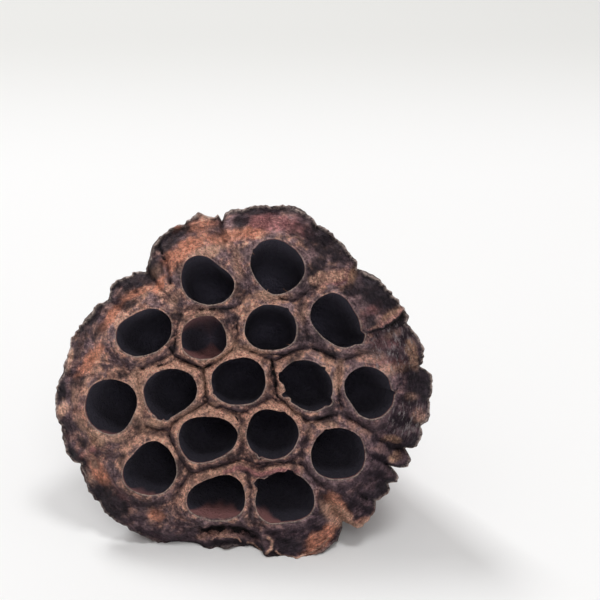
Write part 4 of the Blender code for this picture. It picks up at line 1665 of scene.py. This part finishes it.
@dataclass(frozen=True)
class PodFinish:
    """The pod's dry leather: mottled tan collars, dark furrows, stained brim and streaked purple cone, with
    painted light on crests, lips, edges and up-facing slopes and painted shade in hollows, cracks and
    cells.
    """

    collar_tan: Colour = (0.82, 0.455, 0.325)
    collar_grey: Colour = (0.42, 0.275, 0.275)
    collar_umber_and_shade: Colour = (0.135, 0.088, 0.105)
    # The pale lips of the mouths, with a painted highlight on their lower side.
    lip: Colour = (0.80, 0.62, 0.53)
    valley: Colour = (0.050, 0.034, 0.045)
    crack: Colour = (0.010, 0.007, 0.008)
    brim: Colour = (0.064, 0.041, 0.060)
    brim_light: Colour = (0.20, 0.125, 0.14)
    cone: Colour = (0.105, 0.062, 0.070)
    cone_streak_and_crest_light: Colour = (0.22, 0.135, 0.14)
    cone_hollow_shade: Colour = (0.032, 0.018, 0.023)
    rust: Colour = (0.82, 0.345, 0.22)
    rose: Colour = (0.42, 0.18, 0.18)
    ochre: Colour = (0.60, 0.35, 0.225)
    charcoal: Colour = (0.026, 0.020, 0.027)
    pale: Colour = (0.80, 0.475, 0.345)
    # The painted highlight along the brim's frayed edge.
    hem: Colour = (0.72, 0.56, 0.50)
    fleck: Colour = (0.50, 0.41, 0.46)
    glint: Colour = (0.72, 0.62, 0.62)
    # The cells' colours paint light and shade: reddish where light falls on the lower walls, dim near the
    # mouth and lighter deep in, to even out the light that reaches them.
    cell_lit_red: Colour = (0.41, 0.185, 0.18)
    cell_dim: Colour = (0.040, 0.036, 0.050)
    cell_black: Colour = (0.235, 0.22, 0.305)
    roughness: float = 0.78
    specular: float = 0.28
    pit_size: float = 0.5
    bump_strength: float = 0.9
    bump_depth: float = 0.9

    def ground(self, bench: NodeBench, seen: PodTextures) -> bpy.types.NodeSocket:
        """Mixes the colours of the face, the brim and the cone, with painted light on crests and up-facing
        slopes and painted shade in hollows.
        """
        warmth = bench.plus(bench.ramp(seen.clouds, 0.35, 0.65, -0.45, 0.45), bench.mask("warmth"))
        # Up-facing slopes are painted warmer and lighter, as a painted light from above.
        warmth = bench.plus(warmth, seen.slope, 0.7)
        face = bench.mix(bench.ramp(warmth, 0.0, 0.8), self.collar_grey, self.collar_tan)
        face = bench.mix(bench.product(bench.mask("shade"), 0.55), face, self.brim_light)
        # Hollows and down-facing slopes take the umber, partly darker grain and partly painted shade.
        face = bench.mix(bench.ramp(seen.high, 0.2, 1.15, 0.9, 0), face, self.collar_umber_and_shade)
        # Crests of the brim take the lighter colour as painted light.
        brim = bench.mix(bench.ramp(seen.high, 0.4, 1.3), self.brim, self.brim_light)
        brim = bench.tone(brim, bench.ramp(seen.brim, 0.45, 1.0, 1.25, 0.68))
        # The cone's crests are painted lighter along with its streaks, and its fold hollows painted darker
        # as shade.
        crests = bench.plus(bench.ramp(seen.streaks, 0.38, 0.64, 0, 0.7), seen.relief, 0.8)
        cone = bench.mix(bench.ramp(crests, 0.3, 1.1), self.cone, self.cone_streak_and_crest_light)
        cone = bench.mix(bench.ramp(seen.relief, 0.4, 0.1, 0, 0.9), cone, self.cone_hollow_shade)
        return bench.mix(seen.cone, bench.mix(seen.brim, face, brim), cone)

    def stained(
        self, bench: NodeBench, seen: PodTextures, colour: bpy.types.NodeSocket
    ) -> bpy.types.NodeSocket:
        """Adds the stains and the furrows, and paints light on crests and up-facing slopes and shade in
        hollows.
        """
        ragged = bench.ramp(seen.streaks, 0.38, 0.6, 0.6, 0.85)
        ragged = bench.plus(ragged, bench.ramp(seen.grain, 0.4, 0.58, 0.2, 0.45))
        for tint in Tint:
            share = bench.ramp(bench.product(bench.mask(tint.value), ragged), 0.0, 0.95, 0, 0.92)
            colour = bench.mix(share, colour, getattr(self, tint.value))
        # The valleys between the collars are painted darker, partly their own colour and partly painted
        # shade.
        valley = bench.product(bench.mask("valley"), bench.ramp(seen.clouds, 0.38, 0.62, 0.55, 0.05))
        colour = bench.mix(valley, colour, self.valley)
        # Painted light and shade: lighter on crests and up-facing slopes, darker in hollows and on
        # down-facing slopes.
        colour = bench.tone(colour, bench.ramp(seen.high, 0.1, 1.3, 0.7, 1.3))
        colour = bench.tone(colour, bench.ramp(seen.flecks, 0.36, 0.64, 0.9, 1.45))
        return bench.tone(colour, bench.ramp(seen.threads, 0.36, 0.64, 0.74, 1.26))

    def marked(
        self, bench: NodeBench, seen: PodTextures, colour: bpy.types.NodeSocket
    ) -> bpy.types.NodeSocket:
        """Adds the flecks, the painted glints, the cracks painted dark as shade, the frayed edge with its
        painted highlight, and the lips of the mouths with theirs.
        """
        patchy = bench.ramp(bench.noise(seen.place, 4.5, 2), 0.4, 0.6, 0.25, 1)
        flecked = bench.plus(patchy, bench.mask("rust"), -0.35)
        flecked = bench.product(flecked, bench.ramp(seen.sparks, 0.38, 0.62, 0.85, 0))
        colour = bench.mix(flecked, colour, self.fleck, "MULTIPLY")
        specks = bench.ramp(bench.noise(seen.stretch, 0.55, 3, 0.7), 0.52, 0.68, 0, 0.5)
        colour = bench.mix(bench.product(bench.mask("glint"), specks), colour, self.glint)
        # Cracks, creases and the gaps under the flaps are painted near black, as shade in them.
        crack = bench.product(bench.mask("crack"), bench.ramp(seen.mottle, 0.38, 0.6, 1.25, 0.6))
        colour = bench.mix(bench.ramp(crack, 0.3, 0.95), colour, self.crack)
        # A painted highlight along the frayed edge of the brim.
        edge = bench.product(bench.mask("edge"), bench.ramp(seen.grain, 0.42, 0.56, 0.1, 1.0))
        colour = bench.mix(edge, colour, self.hem)
        # The pale lips of the mouths, with their painted highlight stronger on the lower side.
        lip = bench.product(bench.mask("lip"), bench.ramp(seen.grain, 0.42, 0.56, 0.3, 0.95))
        return bench.mix(lip, colour, self.lip)

    def hollowed(self, bench: NodeBench, colour: bpy.types.NodeSocket) -> bpy.types.NodeSocket:
        """Paints the cells' walls: reddish where light falls on the lower walls, then dark as painted
        shade, lighter on the upper and deeper walls to even out the light that reaches them.
        """
        depth = bench.mask("depth")
        black = bench.mix(bench.mask("shade"), self.cell_dim, self.cell_black)
        wall = bench.mix(bench.ramp(depth, 0.35, 0.95), self.cell_lit_red, black)
        return bench.mix(bench.ramp(depth, 0.0, 0.06), colour, wall)

    def bumps(self, bench: NodeBench, seen: PodTextures) -> bpy.types.NodeSocket:
        """Adds up the relief that is too fine for the skin."""
        pits = bench.node("ShaderNodeTexVoronoi", {"Vector": seen.place, "Scale": 1 / self.pit_size})
        height = bench.product(seen.grain, 1.6)
        parts = (
            (pits.outputs["Distance"], 0.25),
            (seen.wrinkles, 0.12),
            (seen.mottle, 1.1),
            (seen.lines, 1.6),
            (seen.threads, 0.8),
            (seen.sparks, 0.7),
        )
        for part, share in parts:
            height = bench.plus(height, part, share)
        inputs = {"Height": height, "Strength": self.bump_strength, "Distance": self.bump_depth * MM}
        return bench.node("ShaderNodeBump", inputs).outputs[0]

    def dress(self, piece: bpy.types.Object, name: str) -> None:
        """Gives a piece this finish.

        Args:
            piece: the piece.
            name: the material's name.
        """
        bench = NodeBench(name)
        seen = PodTextures(bench)
        colour = self.marked(bench, seen, self.stained(bench, seen, self.ground(bench, seen)))
        rough = bench.ramp(
            bench.noise(seen.place, 1.6, 2), 0.35, 0.65, self.roughness - 0.12, self.roughness + 0.1
        )
        inputs = bench.shader.inputs
        bench.feed(inputs["Base Color"], self.hollowed(bench, colour))
        bench.feed(inputs["Roughness"], rough)
        bench.feed(inputs["Specular IOR Level"], self.specular)
        bench.feed(inputs["Normal"], self.bumps(bench, seen))
        piece.data.materials.append(bench.material)


@dataclass(frozen=True)
class FloorFinish:
    """A plain pale floor that turns a little greyer far behind the pod."""

    near: Colour = (0.93, 0.93, 0.925)
    far: Colour = (0.79, 0.79, 0.77)
    fades_from: float = 0.2
    fades_to: float = 0.5

    def dress(self, piece: bpy.types.Object) -> None:
        """Gives the floor this finish."""
        bench = NodeBench("pale_floor")
        place = bench.node("ShaderNodeTexCoord", {}).outputs["Object"]
        parts = bench.node("ShaderNodeSeparateXYZ", {0: place})
        share = bench.ramp(parts.outputs["Y"], self.fades_from, self.fades_to)
        bench.feed(bench.shader.inputs["Base Color"], bench.mix(share, self.near, self.far))
        bench.shader.inputs["Roughness"].default_value = 0.9
        bench.shader.inputs["Specular IOR Level"].default_value = 0.1
        piece.data.materials.append(bench.material)


@dataclass(frozen=True)
class SoftLight:
    """One broad lamp: where it hangs, how wide it is, its power and its colour."""

    name: str
    place: tuple[float, float, float]
    width: float
    power: float
    colour: Colour = (1.0, 1.0, 1.0)


@dataclass
class Studio:
    """The pale floor, the soft lamps and the camera."""

    floor_width: float = 6.0
    lamps: tuple[SoftLight, ...] = (
        SoftLight("ceiling_light", (-0.95, 1.15, 2.0), 0.6, 28.9, (0.99, 1.0, 1.005)),
        SoftLight("overhead_light", (0.5, -0.12, 2.0), 0.5, 10.5, (0.99, 1.0, 1.005)),
        SoftLight("front_light", (0.2, -1.0, 1.0), 0.6, 2.6),
    )
    aim: tuple[float, float, float] = (0.0, 0.0, 0.03)
    sky_low: float = 0.17
    sky_high: float = 0.46
    sky_colour: Colour = (1.0, 0.965, 0.955)
    lens: float = 70.0
    camera_place: tuple[float, float, float] = (13.34, -273.59, 177.83)
    camera_drop: float = 26.0

    def build(self) -> None:
        """Sets up the whole studio."""
        bpy.ops.mesh.primitive_plane_add(size=self.floor_width)
        floor = bpy.context.object
        floor.name = "studio_floor"
        FloorFinish().dress(floor)
        for lamp in self.lamps:
            self.hang(lamp)
        self.light_sky()
        bpy.context.scene.view_settings.view_transform = "Standard"
        self.place_camera()

    def light_sky(self) -> None:
        """Lets an even light in from all sides, brighter from above."""
        world = bpy.data.worlds.new("studio")
        world.use_nodes = True
        tree = world.node_tree
        heading = tree.nodes.new("ShaderNodeSeparateXYZ")
        tree.links.new(tree.nodes.new("ShaderNodeTexCoord").outputs["Generated"], heading.inputs[0])
        strength = tree.nodes.new("ShaderNodeMapRange")
        tree.links.new(heading.outputs["Z"], strength.inputs["Value"])
        strength.inputs["To Min"].default_value = self.sky_low
        strength.inputs["To Max"].default_value = self.sky_high
        background = tree.nodes["Background"]
        background.inputs["Color"].default_value = (*self.sky_colour, 1)
        tree.links.new(strength.outputs[0], background.inputs["Strength"])
        bpy.context.scene.world = world

    def hang(self, lamp: SoftLight) -> None:
        """Hangs one lamp."""
        light = bpy.data.lights.new(lamp.name, "AREA")
        light.size = lamp.width
        light.energy = lamp.power
        light.color = lamp.colour
        holder = bpy.data.objects.new(lamp.name, light)
        holder.location = lamp.place
        heading = Vector(self.aim) - Vector(lamp.place)
        holder.rotation_euler = heading.to_track_quat("-Z", "Y").to_euler()
        bpy.context.scene.collection.objects.link(holder)

    def place_camera(self) -> None:
        """Puts the camera in front of the face and a little above it."""
        camera = bpy.data.cameras.new("camera")
        camera.lens = self.lens
        camera.clip_start = 0.01
        holder = bpy.data.objects.new("camera", camera)
        holder.location = Vector(self.camera_place) * MM
        holder.rotation_euler = (math.radians(90 - self.camera_drop), 0, 0)
        bpy.context.scene.collection.objects.link(holder)
        bpy.context.scene.camera = holder


@dataclass
class LotusPod:
    """The whole pod, put together from its parts."""

    shape: PodShape = field(default_factory=PodShape)
    pose: Pose = field(default_factory=Pose)
    finish: PodFinish = field(default_factory=PodFinish)

    def build(self) -> list[bpy.types.Object]:
        """Builds and dresses every piece of the pod.

        Returns:
            The pieces.
        """
        skin = Skin()
        face = SeedFace(self.shape)
        face.build(skin)
        SeedCells().build(skin, face.mouths)
        Cone(self.shape).build(skin, face.rim)
        pod = skin.piece("pod_skin", self.pose)
        stem = StemStub(self.shape).build(self.pose)
        fibres = LipFibres(self.shape, face).build(self.pose)
        for piece in (pod, stem, fibres):
            self.finish.dress(piece, f"{piece.name}_finish")
            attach(piece, "root")
        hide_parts("lotus_pod")
        return [pod, stem, fibres]


def main() -> None:
    """Builds the studio and the pod."""
    logging.basicConfig(level=logging.INFO, format="%(message)s")
    Studio().build()
    for piece in LotusPod().build():
        mesh = piece.data
        log.info("%s: %d points, %d triangles", piece.name, len(mesh.vertices), len(mesh.polygons))


if __name__ == "__main__":
    main()
